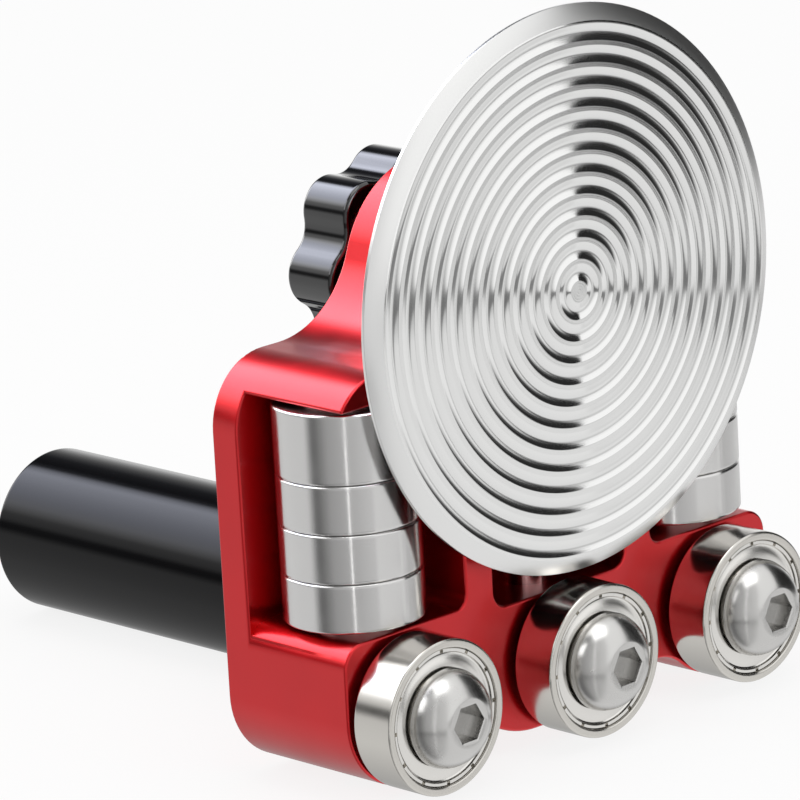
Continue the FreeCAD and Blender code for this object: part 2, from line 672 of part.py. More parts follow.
def opening_spring():
    """Coil spring behind the spindle's flange, one unbroken tube along a helix."""
    radius = SPRING_POCKET_RADIUS - SPRING_OUTER_GAP - SPRING_WIRE / 2
    start = FLANGE_BACK + SPRING_SEAT_GAP + SPRING_WIRE / 2
    end = SPRING_POCKET_BACK - SPRING_WIRE / 2
    lead = (end - start) / (2 * math.pi * SPRING_TURNS)

    def place(angle):
        return V(radius * math.cos(angle), start + lead * angle, DISC_Z + radius * math.sin(angle))

    def heading(angle):
        return V(-radius * math.sin(angle), lead, radius * math.cos(angle)).normalize()

    def arc(first, apex, last):
        middle = (first + last) * 0.5
        half_turn = (apex - first).getAngle(last - first)
        crown = middle + (apex - middle) * (math.tan(half_turn / 2) / math.tan(half_turn))
        return Part.Arc(first, crown, last).toShape()

    edges = []
    step = math.pi / 2
    for index in range(4 * SPRING_TURNS):
        first, last = place(index * step), place((index + 1) * step)
        go, arrive = heading(index * step), heading((index + 1) * step)
        chord = last - first
        along = chord.dot(go + arrive)
        spread = 2 * (1 - go.dot(arrive))
        reach = (math.sqrt(along**2 + spread * chord.dot(chord)) - along) / spread
        first_apex = first + go * reach
        last_apex = last - arrive * reach
        join = (first_apex + last_apex) * 0.5
        edges.append(arc(first, first_apex, join))
        edges.append(arc(join, last_apex, last))
    path = Part.Wire(edges)
    section = Part.Wire(Part.makeCircle(SPRING_WIRE / 2, place(0), heading(0)))
    tube = Part.BRepOffsetAPI.MakePipeShell(path)
    tube.add(section)
    tube.build()
    tube.makeSolid()
    return tube.shape()


def knob_outline(y):
    """Rounded lobes joined by hollows, every arc touching the next."""
    half_step = math.pi / KNOB_LOBES
    lobe_centre = KNOB_CREST_RADIUS - KNOB_LOBE_ROUND
    cosine = math.cos(half_step)
    excess = (
        lobe_centre**2
        + KNOB_VALLEY_RADIUS**2
        - 2 * lobe_centre * KNOB_VALLEY_RADIUS * cosine
        - KNOB_LOBE_ROUND**2
    )
    hollow_round = excess / (2 * (KNOB_LOBE_ROUND - KNOB_VALLEY_RADIUS + lobe_centre * cosine))
    hollow_centre = KNOB_VALLEY_RADIUS + hollow_round
    share = KNOB_LOBE_ROUND / (KNOB_LOBE_ROUND + hollow_round)

    def place(radius, angle):
        return V(radius * math.cos(angle), y, DISC_Z + radius * math.sin(angle))

    def touch(lobe_angle, hollow_angle):
        lobe = place(lobe_centre, lobe_angle)
        return lobe + (place(hollow_centre, hollow_angle) - lobe) * share

    edges = []
    for index in range(KNOB_LOBES):
        crest = math.radians(KNOB_TURN) + 2 * index * half_step
        before = touch(crest, crest - half_step)
        after = touch(crest, crest + half_step)
        following = touch(crest + 2 * half_step, crest + half_step)
        edges.append(Part.Arc(before, place(KNOB_CREST_RADIUS, crest), after).toShape())
        edges.append(Part.Arc(after, place(KNOB_VALLEY_RADIUS, crest + half_step), following).toShape())
    return Part.Wire(edges)


def adjusting_knob():
    """Lobed knob with a hub that bears on the thrust washer."""
    knob = Part.Face(knob_outline(KNOB_STANDOFF)).extrude(V(0, KNOB_DEPTH, 0))
    knob = knob.makeFillet(KNOB_EDGE_ROUND, level_edges(knob, KNOB_STANDOFF) + level_edges(knob, KNOB_BACK))
    knob = knob.fuse(cylinder_y(KNOB_HUB_RADIUS, KNOB_HUB_FRONT, KNOB_STANDOFF + KNOB_DEPTH / 2, 0, DISC_Z))
    shank_bore = SHANK_RADIUS + LOOSE_FIT
    knob = knob.cut(cylinder_y(shank_bore, KNOB_HUB_FRONT, INSERT_FRONT, 0, DISC_Z))
    knob = knob.cut(cylinder_y(INSERT_RADIUS, INSERT_FRONT, INSERT_BACK, 0, DISC_Z))
    end_bore = THREAD_RADIUS + LOOSE_FIT
    return knob.cut(cylinder_y(end_bore, INSERT_FRONT, KNOB_BACK - KNOB_END_WALL, 0, DISC_Z)).removeSplitter()


def middle_clips(heights):
    """Retaining rings in the middle pin's grooves, above and below the roller."""
    clips = []
    for height in heights:
        clip = cylinder_z(CLIP_OD / 2, height, height + CLIP_THICKNESS, 0, MIDDLE_Y)
        clip = clip.cut(cylinder_z(PIN_RADIUS - CLIP_GROOVE_DEPTH, height, height + CLIP_THICKNESS, 0, MIDDLE_Y))
        back = MIDDLE_Y + CLIP_OD / 2 + OVERCUT
        gap = block((-CLIP_GAP / 2, CLIP_GAP / 2), (MIDDLE_Y, back), (height, height + CLIP_THICKNESS))
        clips.append(clip.cut(gap))
    return clips


# Frame
save("frame_block", frame_block())

# Handle
tube = turned_y(
    [
        (HANDLE_BORE_RADIUS, 0),
        (HANDLE_RADIUS, 0),
        (HANDLE_RADIUS, HANDLE_LENGTH),
        (HANDLE_BORE_RADIUS, HANDLE_LENGTH),
    ]
)
outer_rim = [edge for edge in level_edges(tube, HANDLE_LENGTH) if edge.BoundBox.XMax > HANDLE_RADIUS - 1e-6]
save("handle_grip", tube.makeFillet(HANDLE_END_ROUND, outer_rim))
core = cylinder_y(HANDLE_BORE_RADIUS, 0, CORE_LENGTH)
save("handle_core", core.cut(cylinder_y(STUD_RADIUS, 0, CORE_LENGTH)))
save("handle_end_cap", cylinder_y(HANDLE_BORE_RADIUS, HANDLE_LENGTH - CAP_PLUG_LENGTH, HANDLE_LENGTH))
save("handle_stud", cylinder_y(STUD_RADIUS, -STUD_IN_FRAME, STUD_IN_CORE))

# Front bearings, which carry the sheet
FRONT_BEARINGS = {"left": -BEARING_PITCH, "middle": 0.0, "right": BEARING_PITCH}
for place_name, centre in FRONT_BEARINGS.items():
    bearing(place_name + "_bearing", BEARING_FRONT, centre, 0.0)
save("bearing_screws", *[bearing_screw(centre) for centre in FRONT_BEARINGS.values()])
spacers = []
for centre in FRONT_BEARINGS.values():
    spacer = cylinder_y(SPACER_OD / 2, BEARING_BACK, FRAME_FRONT, centre)
    spacers.append(spacer.cut(cylinder_y(BORE_RADIUS + RUNNING_FIT, BEARING_BACK, FRAME_FRONT, centre)))
save("bearing_spacers", *spacers)

# Disc, the bearing in its hub and the spindle
save("forming_disc", forming_disc())
save("disc_hub", disc_hub())
bearing("disc_bearing", DISC_BEARING_FRONT, 0.0, DISC_Z)
hub_groove_radius = BEARING_RADIUS + HUB_CIRCLIP_GROOVE_DEPTH
save(
    "disc_bearing_circlip",
    split_ring_y(
        hub_groove_radius,
        hub_groove_radius - HUB_CIRCLIP_BAND,
        HUB_CIRCLIP_FRONT,
        HUB_CIRCLIP_BACK,
        HUB_CIRCLIP_GAP,
        0,
        DISC_Z,
    ),
)
spindle_groove_radius = BORE_RADIUS - CIRCLIP_GROOVE_DEPTH
save(
    "spindle_circlip",
    split_ring_y(
        spindle_groove_radius + CIRCLIP_BAND,
        spindle_groove_radius,
        DISC_BEARING_FRONT - CIRCLIP_THICKNESS,
        DISC_BEARING_FRONT,
        CIRCLIP_GAP,
        0,
        DISC_Z,
    ),
)
save("spindle", spindle())
save("guide_screw", guide_screw())
save("opening_spring", opening_spring())
bush = cylinder_y(BUSH_RADIUS, SPRING_POCKET_BACK, 0, 0, DISC_Z)
bush = bush.cut(cylinder_y(SHANK_RADIUS + RUNNING_FIT, SPRING_POCKET_BACK, 0, 0, DISC_Z))
save("spindle_bush", bush.cut(cylinder_z(GUIDE_RADIUS, DISC_Z, DISC_Z + HEAD_RADIUS, 0, GUIDE_Y)))

# Knob that draws the disc towards the rollers
washer = cylinder_y(THRUST_WASHER_OD / 2, 0, THRUST_WASHER_THICKNESS, 0, DISC_Z)
save("thrust_washer", washer.cut(cylinder_y(SHANK_RADIUS + LOOSE_FIT, 0, THRUST_WASHER_THICKNESS, 0, DISC_Z)))
save("adjusting_knob", adjusting_knob())
insert = cylinder_y(INSERT_RADIUS, INSERT_FRONT, INSERT_BACK, 0, DISC_Z)
save("knob_insert", insert.cut(cylinder_y(THREAD_RADIUS + RUNNING_FIT, INSERT_FRONT, INSERT_BACK, 0, DISC_Z)))

# Ring stacks on their axle pins
washers = []
for place_name, side in (("left", -1), ("right", 1)):
    x = side * STACK_X
    bottom = STACK_BOTTOM
    for index in range(PLAIN_RING_COUNT + 1):
        height = RING_HEIGHT if index < PLAIN_RING_COUNT else TOP_RING_HEIGHT
        top = bottom + height - RING_PLAY
        profile = ring_profile(PIN_BORE_RADIUS, RING_OD / 2, bottom, top, EDGE_BREAK)
        save(place_name + "_ring_" + str(index + 1), turned_z(profile, x, STACK_Y))
        bottom += height
    pin_profile = [
        (0, -BEARING_RADIUS + PIN_RECESS),
        (PIN_RADIUS - EDGE_BREAK, -BEARING_RADIUS + PIN_RECESS),
        (PIN_RADIUS, -BEARING_RADIUS + PIN_RECESS + EDGE_BREAK),
        (PIN_RADIUS, SHOULDER_Z - PIN_COVER - EDGE_BREAK),
        (PIN_RADIUS - EDGE_BREAK, SHOULDER_Z - PIN_COVER),
        (0, SHOULDER_Z - PIN_COVER),
    ]
    save(place_name + "_axle_pin", turned_z(pin_profile, x, STACK_Y))
    for start, end in ((LEDGE_Z, STACK_BOTTOM), (STACK_TOP, STACK_TOP + UPPER_WASHER)):
        stack_washer = cylinder_z(STACK_WASHER_OD / 2, start, end, x, STACK_Y)
        washers.append(stack_washer.cut(cylinder_z(PIN_BORE_RADIUS, start, end, x, STACK_Y)))
save("stack_washers", *washers)

# Middle roller on its own pin, held between two clips
roller_bottom = POCKET_FLOOR + MIDDLE_ROLLER_LIFT
roller_top = POCKET_TOP - MIDDLE_ROLLER_HEADROOM
roller_profile = ring_profile(PIN_BORE_RADIUS, MIDDLE_ROLLER_OD / 2, roller_bottom, roller_top, EDGE_BREAK)
save("middle_roller", turned_z(roller_profile, 0, MIDDLE_Y))
clip_heights = (roller_bottom - END_PLAY - CLIP_THICKNESS, roller_top + END_PLAY)
clips = middle_clips(clip_heights)
save("middle_roller_clips", *clips)
pin_bottom = POCKET_FLOOR - MIDDLE_PIN_SEAT
pin_top = DISC_Z - HUB_RECESS_RADIUS - MIDDLE_PIN_TOP_SETBACK
middle_pin = cylinder_z(PIN_RADIUS, pin_bottom, pin_top, 0, MIDDLE_Y)
for height in clip_heights:
    collar = cylinder_z(PIN_RADIUS, height, height + CLIP_THICKNESS, 0, MIDDLE_Y)
    neck = cylinder_z(PIN_RADIUS - CLIP_GROOVE_DEPTH, height, height + CLIP_THICKNESS, 0, MIDDLE_Y)
    middle_pin = middle_pin.cut(collar.cut(neck))
save("middle_axle_pin", middle_pin)
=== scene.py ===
# %% [markdown]
# # A hand-held roller folder, dressed for the camera
# The tool turns up the edge of sheet metal. A large turned disc presses the edge back against stacks of
# steel rings, while three ball bearings under the disc carry the sheet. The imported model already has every
# piece in its place, in metres, with X across the tool, Y back along the handle and Z up. This lesson gives
# each piece the smooth surface, the edge breaks and the finish that the real one has.

import bpy
import bmesh
import json
import math
from mathutils import Matrix, Vector

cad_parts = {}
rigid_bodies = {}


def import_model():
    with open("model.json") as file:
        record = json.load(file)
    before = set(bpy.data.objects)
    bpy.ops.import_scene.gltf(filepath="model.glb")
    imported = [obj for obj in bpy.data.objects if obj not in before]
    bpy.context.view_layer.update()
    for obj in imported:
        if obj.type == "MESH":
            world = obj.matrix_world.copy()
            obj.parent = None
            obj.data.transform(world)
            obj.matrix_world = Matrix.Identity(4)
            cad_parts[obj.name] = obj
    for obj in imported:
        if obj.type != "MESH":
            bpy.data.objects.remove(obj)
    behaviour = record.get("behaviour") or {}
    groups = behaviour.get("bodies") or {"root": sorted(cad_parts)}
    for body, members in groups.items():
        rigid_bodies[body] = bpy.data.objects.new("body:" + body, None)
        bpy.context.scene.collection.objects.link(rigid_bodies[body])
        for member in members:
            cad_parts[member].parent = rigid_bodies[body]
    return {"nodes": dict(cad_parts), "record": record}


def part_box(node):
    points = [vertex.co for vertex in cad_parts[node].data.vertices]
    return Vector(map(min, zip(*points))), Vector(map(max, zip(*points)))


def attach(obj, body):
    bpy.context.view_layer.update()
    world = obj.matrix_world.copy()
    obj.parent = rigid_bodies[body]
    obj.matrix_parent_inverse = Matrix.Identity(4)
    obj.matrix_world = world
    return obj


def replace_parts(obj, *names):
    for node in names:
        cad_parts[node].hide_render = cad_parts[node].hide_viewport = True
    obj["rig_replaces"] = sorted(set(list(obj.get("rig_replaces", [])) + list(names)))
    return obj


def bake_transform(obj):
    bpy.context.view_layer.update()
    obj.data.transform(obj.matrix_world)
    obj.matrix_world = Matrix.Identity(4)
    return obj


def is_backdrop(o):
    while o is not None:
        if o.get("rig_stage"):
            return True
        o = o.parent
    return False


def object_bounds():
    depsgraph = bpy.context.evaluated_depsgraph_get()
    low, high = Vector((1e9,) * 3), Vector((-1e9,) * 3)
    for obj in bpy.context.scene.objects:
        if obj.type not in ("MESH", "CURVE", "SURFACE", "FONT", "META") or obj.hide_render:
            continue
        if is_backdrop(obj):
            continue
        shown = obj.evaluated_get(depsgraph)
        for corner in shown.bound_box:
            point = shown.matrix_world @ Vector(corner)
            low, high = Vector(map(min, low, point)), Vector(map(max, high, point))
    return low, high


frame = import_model()
loaded_bounds = [list(corner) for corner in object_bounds()]
bodies = frame["record"]["behaviour"]["bodies"]
body_of_node = {node: body for body, nodes in bodies.items() for node in nodes}
slot_of_node = {part["node"]: part["material_slot"] for part in frame["record"]["subparts"]}
MM = 0.001
scene = bpy.context.scene

# %% [markdown]
# ## Colours and shader nodes
# Colours are written as sRGB hex values, the way a paint chart gives them, and one function turns them into
# the linear values that a shader wants. One small helper adds a node with its settings and inputs, so that
# each finish reads as a short recipe. An input takes a plain value, the output of another node, or a node,
# which stands for its first output.


# %% Colour and node helpers
def colour(hex_value):
    """Linear RGBA from an sRGB hex value."""
    channels = []
    for start in (0, 2, 4):
        value = int(hex_value[start : start + 2], 16) / 255
        channels.append(value / 12.92 if value <= 0.04045 else ((value + 0.055) / 1.055) ** 2.4)
    return (*channels, 1.0)


def add(tree, kind, inputs=None, **settings):
    """One node, with its own settings and what its inputs take: values, outputs or nodes."""
    node = tree.nodes.new(kind)
    for name, value in settings.items():
        setattr(node, name, value)
    for socket, source in (inputs or {}).items():
        if isinstance(source, bpy.types.Node):
            source = source.outputs[0]
        if isinstance(source, bpy.types.NodeSocket):
            tree.links.new(source, node.inputs[socket])
        else:
            node.inputs[socket].default_value = source
    return node


def new_material(name):
    """Empty node material and its output node."""
    material = bpy.data.materials.new(name)
    material.use_nodes = True
    material.node_tree.nodes.clear()
    return material, add(material.node_tree, "ShaderNodeOutputMaterial")


print("white is", colour("FFFFFF"))

# %% [markdown]
# ## Camera
# The photograph was taken from the left and slightly above with a long lens, so parallel edges stay nearly
# parallel. The camera's place came from fitting the bearings, the disc and the frame's edges to the
# picture, including a small roll of the camera. Its matrix is built from those angles.

# %% Camera at the photograph's place
AZIMUTH = math.radians(-43.695)
ELEVATION = math.radians(14.937)
ROLL = math.radians(-3.193)
CAMERA_DISTANCE = 812.497 * MM
CAMERA_TARGET = Vector((-36.893, -32.0, 46.236)) * MM
SENSOR_WIDTH = 36
# The fit gave the focal length in pixels of a picture that is 800 pixels wide.
FOCAL_RATIO = 6064.227 / 800

away = Vector(
    (
        math.sin(AZIMUTH) * math.cos(ELEVATION),
        -math.cos(AZIMUTH) * math.cos(ELEVATION),
        math.sin(ELEVATION),
    )
)
level_right = Vector((math.cos(AZIMUTH), math.sin(AZIMUTH), 0))
level_up = away.cross(level_right)
view_right = level_right * math.cos(ROLL) + level_up * math.sin(ROLL)
view_up = level_up * math.cos(ROLL) - level_right * math.sin(ROLL)

camera_data = bpy.data.cameras.new("camera")
camera_data.sensor_width = SENSOR_WIDTH
camera_data.lens = SENSOR_WIDTH * FOCAL_RATIO
camera_data.clip_start = 0.01
camera_data.clip_end = 20
camera = bpy.data.objects.new("camera", camera_data)
scene.collection.objects.link(camera)
turn = Matrix((view_right, view_up, away)).transposed().to_4x4()
camera.matrix_world = Matrix.Translation(CAMERA_TARGET + away * CAMERA_DISTANCE) @ turn
scene.camera = camera
scene.view_settings.view_transform = "Standard"
print("lens", round(camera_data.lens, 1), "mm")

# %% [markdown]
# ## Studio
# Polished metal shows its surroundings more than its own colour, so the studio matters as much as the
# finishes. Boards and lamps could stand round the tool, but then each groove and ring would mirror their
# corners too. So the room is painted into the world instead, as brightness bands. Only mirrored rays see
# these bands. The background stays white paper, and matt surfaces are lit by a plain even level.
#
# The wall behind the tool has bands that run round the handle's axis: a pale side, a dark gap on the right
# above, a bright panel overhead and a dark line on the left horizon. The handle, the knob and the frame's
# sides show them.


# %% Bands of the room
BRIGHTEST = 5.5


def angle_share(tree, rise, run):
    """Angle of a direction in a plane, as a share of a full turn."""
    angle = add(tree, "ShaderNodeMath", {0: rise, 1: run}, operation="ARCTAN2")
    turns = add(tree, "ShaderNodeMath", {0: angle, 1: 2 * math.pi}, operation="DIVIDE")
    positive = add(tree, "ShaderNodeMath", {0: turns, 1: 1.0}, operation="ADD")
    return add(tree, "ShaderNodeMath", {0: positive}, operation="FRACT")


def wall(tree, place, whole, bands):
    """Brightness along a place. A band has its mark, out of the whole, and its level: 1 is white paper."""
    painted = add(tree, "ShaderNodeValToRGB", {"Fac": place})
    stops = painted.color_ramp.elements
    for index, (mark, level) in enumerate(bands):
        stop = stops[index] if index < 2 else stops.new(mark / whole)
        stop.position = mark / whole
        stop.color = (level / BRIGHTEST,) * 3 + (1.0,)
    return add(tree, "ShaderNodeMath", {0: painted, 1: BRIGHTEST}, operation="MULTIPLY")


# %% Wall behind the tool
world = bpy.data.worlds.new("pale_studio")
scene.world = world
world.use_nodes = True
room = world.node_tree
room.nodes.clear()
direction = add(room, "ShaderNodeTexCoord")
toward = add(room, "ShaderNodeSeparateXYZ", {"Vector": direction.outputs["Generated"]})
rightward, backward, upward = toward.outputs
pale_side = [(0, 1.2), (13, 0.9), (29, 0.4)]
dark_gap = [(45, 0.1), (62, 0.04), (70, 0.2)]
bright_panel = [(76, 3.0), (84, 5.5), (100, 5.3), (120, 4.4), (138, 3.5), (147, 2.1)]
left_side = [(153, 1.0), (162, 0.75)]
dark_horizon = [(168, 0.12), (175, 0.1)]
pale_below = [(184, 0.75), (221, 0.82), (271, 0.6), (301, 0.48), (335, 0.5), (355, 1.0)]
behind = wall(
    room,
    angle_share(room, upward, rightward),
    360,
    pale_side + dark_gap + bright_panel + left_side + dark_horizon + pale_below,
)
print("behind:", len(room.nodes), "nodes")

# %% [markdown]
# In front on the left, bands run round the upright axis, and a narrow light strip beside the camera draws
# the bright line down the ring stacks. In front on the right the wall is pale up to a dark curtain. The
# turned grooves show the wall as white crescents and the curtain as black ones, and they meet in a sharp
# line at 12 and 6 o'clock. The table ends in a thin dark line, which gives the short marks at 3 and 9
# o'clock.
#
# The marks of the left wall are degrees round the upright axis. Everything else is measured in the parts of
# a direction's unit vector, and the height has a half added to it, so that the horizon is at 0.5.

# %% Wall in front on the left
LIGHT_STRIP = (225.6, 227.0)
STRIP_LEVEL = 3.0
STRIP_EDGE = 0.6
BESIDE_STRIP = 0.65
LEVEL_OF_HORIZON = 0.5
left_of_strip = [(0, 0.3), (120, 0.85), (150, 0.75), (165, 0.2), (178, 0.2), (198, 0.5), (220, 0.62)]
strip = [
    (LIGHT_STRIP[0] - STRIP_EDGE, BESIDE_STRIP),
    (LIGHT_STRIP[0], STRIP_LEVEL),
    (LIGHT_STRIP[1], STRIP_LEVEL),
    (LIGHT_STRIP[1] + STRIP_EDGE, BESIDE_STRIP),
]
right_of_strip = [(262, 0.85), (359, 0.85)]
left_wall = wall(room, angle_share(room, backward, rightward), 360, left_of_strip + strip + right_of_strip)
height = add(room, "ShaderNodeMath", {0: upward, 1: LEVEL_OF_HORIZON}, operation="ADD")
left_table = wall(room, height, 1, [(0, 0.85), (0.08, 0.75), (0.13, 0.3), (0.17, 0.3), (0.2, 1), (1, 1)])
left = add(room, "ShaderNodeMath", {0: left_wall, 1: left_table}, operation="MULTIPLY")
print("left in front:", len(room.nodes), "nodes")

# %% Wall in front on the right, with its curtain
CURTAIN_EDGE = (0.692, 0.703)
HEM_DROP = 0.08
HEM_DROP_ENDS = (0.71, 0.75)
SMOOTH = {"interpolation_type": "SMOOTHSTEP"}
table_top = [(0, 0.9), (0.18, 0.86), (0.25, 0.85)]
wall_foot = [(0.28, 0.62), (0.3, 0.66), (0.325, 0.9)]
pale_wall = wall(room, height, 1, table_top + wall_foot + [(0.36, 1.05), (0.42, 1.12)])
dropped = add(room, "ShaderNodeMapRange", {0: rightward, 1: HEM_DROP_ENDS[1], 2: HEM_DROP_ENDS[0]}, **SMOOTH)
above_hem = add(room, "ShaderNodeMath", {0: dropped, 1: HEM_DROP, 2: height}, operation="MULTIPLY_ADD")
under_curtain = [(0, 0.86), (0.18, 0.78), (0.25, 0.9), (0.3, 0.95)]
curtain = wall(room, above_hem, 1, under_curtain + [(0.33, 0.6), (0.36, 0.1), (0.42, 0.025), (1, 0.015)])
past_edge = add(room, "ShaderNodeMapRange", {0: rightward, 1: CURTAIN_EDGE[0], 2: CURTAIN_EDGE[1]}, **SMOOTH)
right_wall = add(room, "ShaderNodeMix", {0: past_edge, 2: pale_wall, 3: curtain})
print("right in front:", len(room.nodes), "nodes")

# %% Dark line of the table's edge, on the right
TABLE_EDGE_BELOW = 0.114
TABLE_EDGE_SLANT = 0.21
TABLE_EDGE_WIDTH = (0.012, 0.028)
TABLE_EDGE_DARKNESS = 0.72
LANDS_LOOK_AT = 0.69
CLEAR_OF_LANDS = (0.05, 0.1)
along = {0: rightward, 1: TABLE_EDGE_SLANT, 2: upward}
slanted = add(room, "ShaderNodeMath", along, operation="MULTIPLY_ADD")
above_line = add(room, "ShaderNodeMath", {0: slanted, 1: TABLE_EDGE_BELOW}, operation="ADD")
from_line = add(room, "ShaderNodeMath", {0: above_line}, operation="ABSOLUTE")
narrow, wide = TABLE_EDGE_WIDTH
on_line = add(room, "ShaderNodeMapRange", {0: from_line, 1: wide, 2: narrow}, **SMOOTH)
past_lands = add(room, "ShaderNodeMath", {0: rightward, 1: LANDS_LOOK_AT}, operation="SUBTRACT")
from_lands = add(room, "ShaderNodeMath", {0: past_lands}, operation="ABSOLUTE")
clear = add(room, "ShaderNodeMapRange", {0: from_lands, 1: CLEAR_OF_LANDS[0], 2: CLEAR_OF_LANDS[1]}, **SMOOTH)
dark = add(room, "ShaderNodeMath", {0: on_line, 1: clear}, operation="MULTIPLY")
kept = add(room, "ShaderNodeMath", {0: dark, 1: -TABLE_EDGE_DARKNESS, 2: 1.0}, operation="MULTIPLY_ADD")
right = add(room, "ShaderNodeMath", {0: right_wall, 1: kept}, operation="MULTIPLY")
print("with the table's edge:", len(room.nodes), "nodes")

# %% [markdown]
# The walls are joined by soft steps from left to right and from front to back. The panel overhead is a
# little blue, which the black handle and the knob show.

# %% World
FRONT_TO_BACK = (0.1, 0.4)
LEFT_TO_RIGHT = (-0.1, 0.0)
OVERHEAD = (0.3, 0.6)
OVERHEAD_TINT = "EBEFFF"
EVEN_LEVEL = 0.8
WHITE = (1.0, 1.0, 1.0, 1.0)
to_right = add(room, "ShaderNodeMapRange", {0: rightward, 1: LEFT_TO_RIGHT[0], 2: LEFT_TO_RIGHT[1]}, **SMOOTH)
before = add(room, "ShaderNodeMix", {0: to_right, 2: left, 3: right})
to_back = add(room, "ShaderNodeMapRange", {0: backward, 1: FRONT_TO_BACK[0], 2: FRONT_TO_BACK[1]}, **SMOOTH)
level = add(room, "ShaderNodeMix", {0: to_back, 2: before, 3: behind})
to_overhead = add(room, "ShaderNodeMapRange", {0: upward, 1: OVERHEAD[0], 2: OVERHEAD[1]}, **SMOOTH)
tinted = add(room, "ShaderNodeMath", {0: to_overhead, 1: to_back}, operation="MULTIPLY")
tint = add(room, "ShaderNodeMix", {0: tinted, 6: WHITE, 7: colour(OVERHEAD_TINT)}, data_type="RGBA")
banded = add(room, "ShaderNodeBackground", {"Color": tint.outputs[2], "Strength": level})
even = add(room, "ShaderNodeBackground", {"Color": WHITE, "Strength": EVEN_LEVEL})
paper_white = add(room, "ShaderNodeBackground", {"Color": WHITE, "Strength": 1.0})
sight = add(room, "ShaderNodeLightPath")
bounced = {0: sight.outputs["Is Glossy Ray"], 1: sight.outputs["Is Transmission Ray"]}
mirrored = add(room, "ShaderNodeMath", bounced, operation="MAXIMUM")
lit = add(room, "ShaderNodeMixShader", {0: mirrored, 1: even, 2: banded})
seen = add(room, "ShaderNodeMixShader", {0: sight.outputs["Is Camera Ray"], 1: lit, 2: paper_white})
add(room, "ShaderNodeOutputWorld", {"Surface": seen})
print("world:", len(room.nodes), "nodes")

# %% [markdown]
# Two weak lamps shape what the room leaves flat: one from the left and one from above.


# %% Lamps
TOOL_MIDDLE = Vector((0.0, 0.0, 0.04))
LAMP_DISTANCE = 1.0


def softbox(name, azimuth, elevation, width, watts):
    """Square lamp that faces the tool from a place round it and above it, in degrees."""
    turned = math.radians(azimuth)
    raised = math.radians(elevation)
    flat = math.cos(raised)
    aside = Vector((math.sin(turned) * flat, -math.cos(turned) * flat, math.sin(raised)))
    lamp = bpy.data.lights.new(name, "AREA")
    lamp.size = width
    lamp.energy = watts
    holder = bpy.data.objects.new(name, lamp)
    scene.collection.objects.link(holder)
    holder.location = TOOL_MIDDLE + aside * LAMP_DISTANCE
    holder.rotation_euler = aside.to_track_quat("Z", "Y").to_euler()
    return holder


left_softbox = softbox("left_softbox", -100, 35, 0.5, 1.5)
top_softbox = softbox("top_softbox", -20, 75, 0.6, 2.0)
print("lamps:", left_softbox.data.energy, "W and", top_softbox.data.energy, "W")

# %% [markdown]
# The floor is a white table top that keeps the tool's soft shadow: a weak matt sheet for the shadow, mixed
# with a plain white glow that only the camera and clear things see. What the metal mirrors of the table is
# already in the room's bands, as far as the dark line of its edge, so the floor itself stays out of the
# reflections.

# %% Floor
FLOOR_GAP = 0.02 * MM
FLOOR_REACH = 3.0
GLOW_SHARE = 0.85
floor_z = loaded_bounds[0][2] - FLOOR_GAP
corners = [(-1, -1), (1, -1), (1, 1), (-1, 1)]
floor_mesh = bpy.data.meshes.new("floor")
floor_mesh.from_pydata([(FLOOR_REACH * x, FLOOR_REACH * y, floor_z) for x, y in corners], [], [(0, 1, 2, 3)])
floor = bpy.data.objects.new("floor", floor_mesh)
scene.collection.objects.link(floor)
floor.visible_glossy = False
floor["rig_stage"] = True
paper, paper_out = new_material("white_table_top")
sheet = paper.node_tree
looked_at = add(sheet, "ShaderNodeLightPath")
looks = {0: looked_at.outputs["Is Camera Ray"], 1: looked_at.outputs["Is Transmission Ray"]}
shown = add(sheet, "ShaderNodeMath", looks, operation="MAXIMUM")
matt = add(sheet, "ShaderNodeBsdfDiffuse", {"Color": colour("F2F2F2")})
glow = add(sheet, "ShaderNodeEmission", {"Color": WHITE, "Strength": shown})
faint = add(sheet, "ShaderNodeMixShader", {0: GLOW_SHARE, 1: matt, 2: glow})
sheet.links.new(faint.outputs[0], paper_out.inputs["Surface"])
floor_mesh.materials.append(paper)
print("floor", round(FLOOR_GAP / MM, 3), "mm under the tool")

# %% [markdown]
# ## Finishes
# Each finish starts from what the real surface is. Steel and aluminium are metals whose colour is their
# reflection, so they differ in how the surface was cut: turned and ground steel reflect in streaks across
# their tool marks, which is anisotropy with a fine bump. A picture of scratches would do too, but noise on
# the piece's own coordinates has no seam and fits every size.
#
# A grain is given in millimetres. One pixel of the photograph covers about 0.13 mm, and real tool marks and
# blasting grit are finer than that, so the grain is drawn coarser than it is, at 0.2 to 0.6 mm, to show at
# all.

# %% Patterns on a piece
# Polishing and handling leave a surface a little uneven, in clouds about 7 mm wide.
CLOUDS_PER_METRE = 150
GRAIN_RELIEF = 0.1
SATIN_STEP = 0.2


def object_coordinates(tree, scale, centre=(0, 0, 0)):
    """Object coordinates in pattern units, centred on a point given in metres."""
    place = add(tree, "ShaderNodeTexCoord")
    offset = tuple(-value * scale for value in centre)
    inputs = {"Scale": (scale, scale, scale), "Location": offset, "Vector": place.outputs["Object"]}
    return add(tree, "ShaderNodeMapping", inputs)


def distance_from_axis(tree, place):
    """Distance from the Y axis of pattern coordinates."""
    parts = add(tree, "ShaderNodeSeparateXYZ", {"Vector": place})
    flat = add(tree, "ShaderNodeCombineXYZ", {"X": parts.outputs["X"], "Z": parts.outputs["Z"]})
    return add(tree, "ShaderNodeVectorMath", {0: flat}, operation="LENGTH").outputs["Value"]


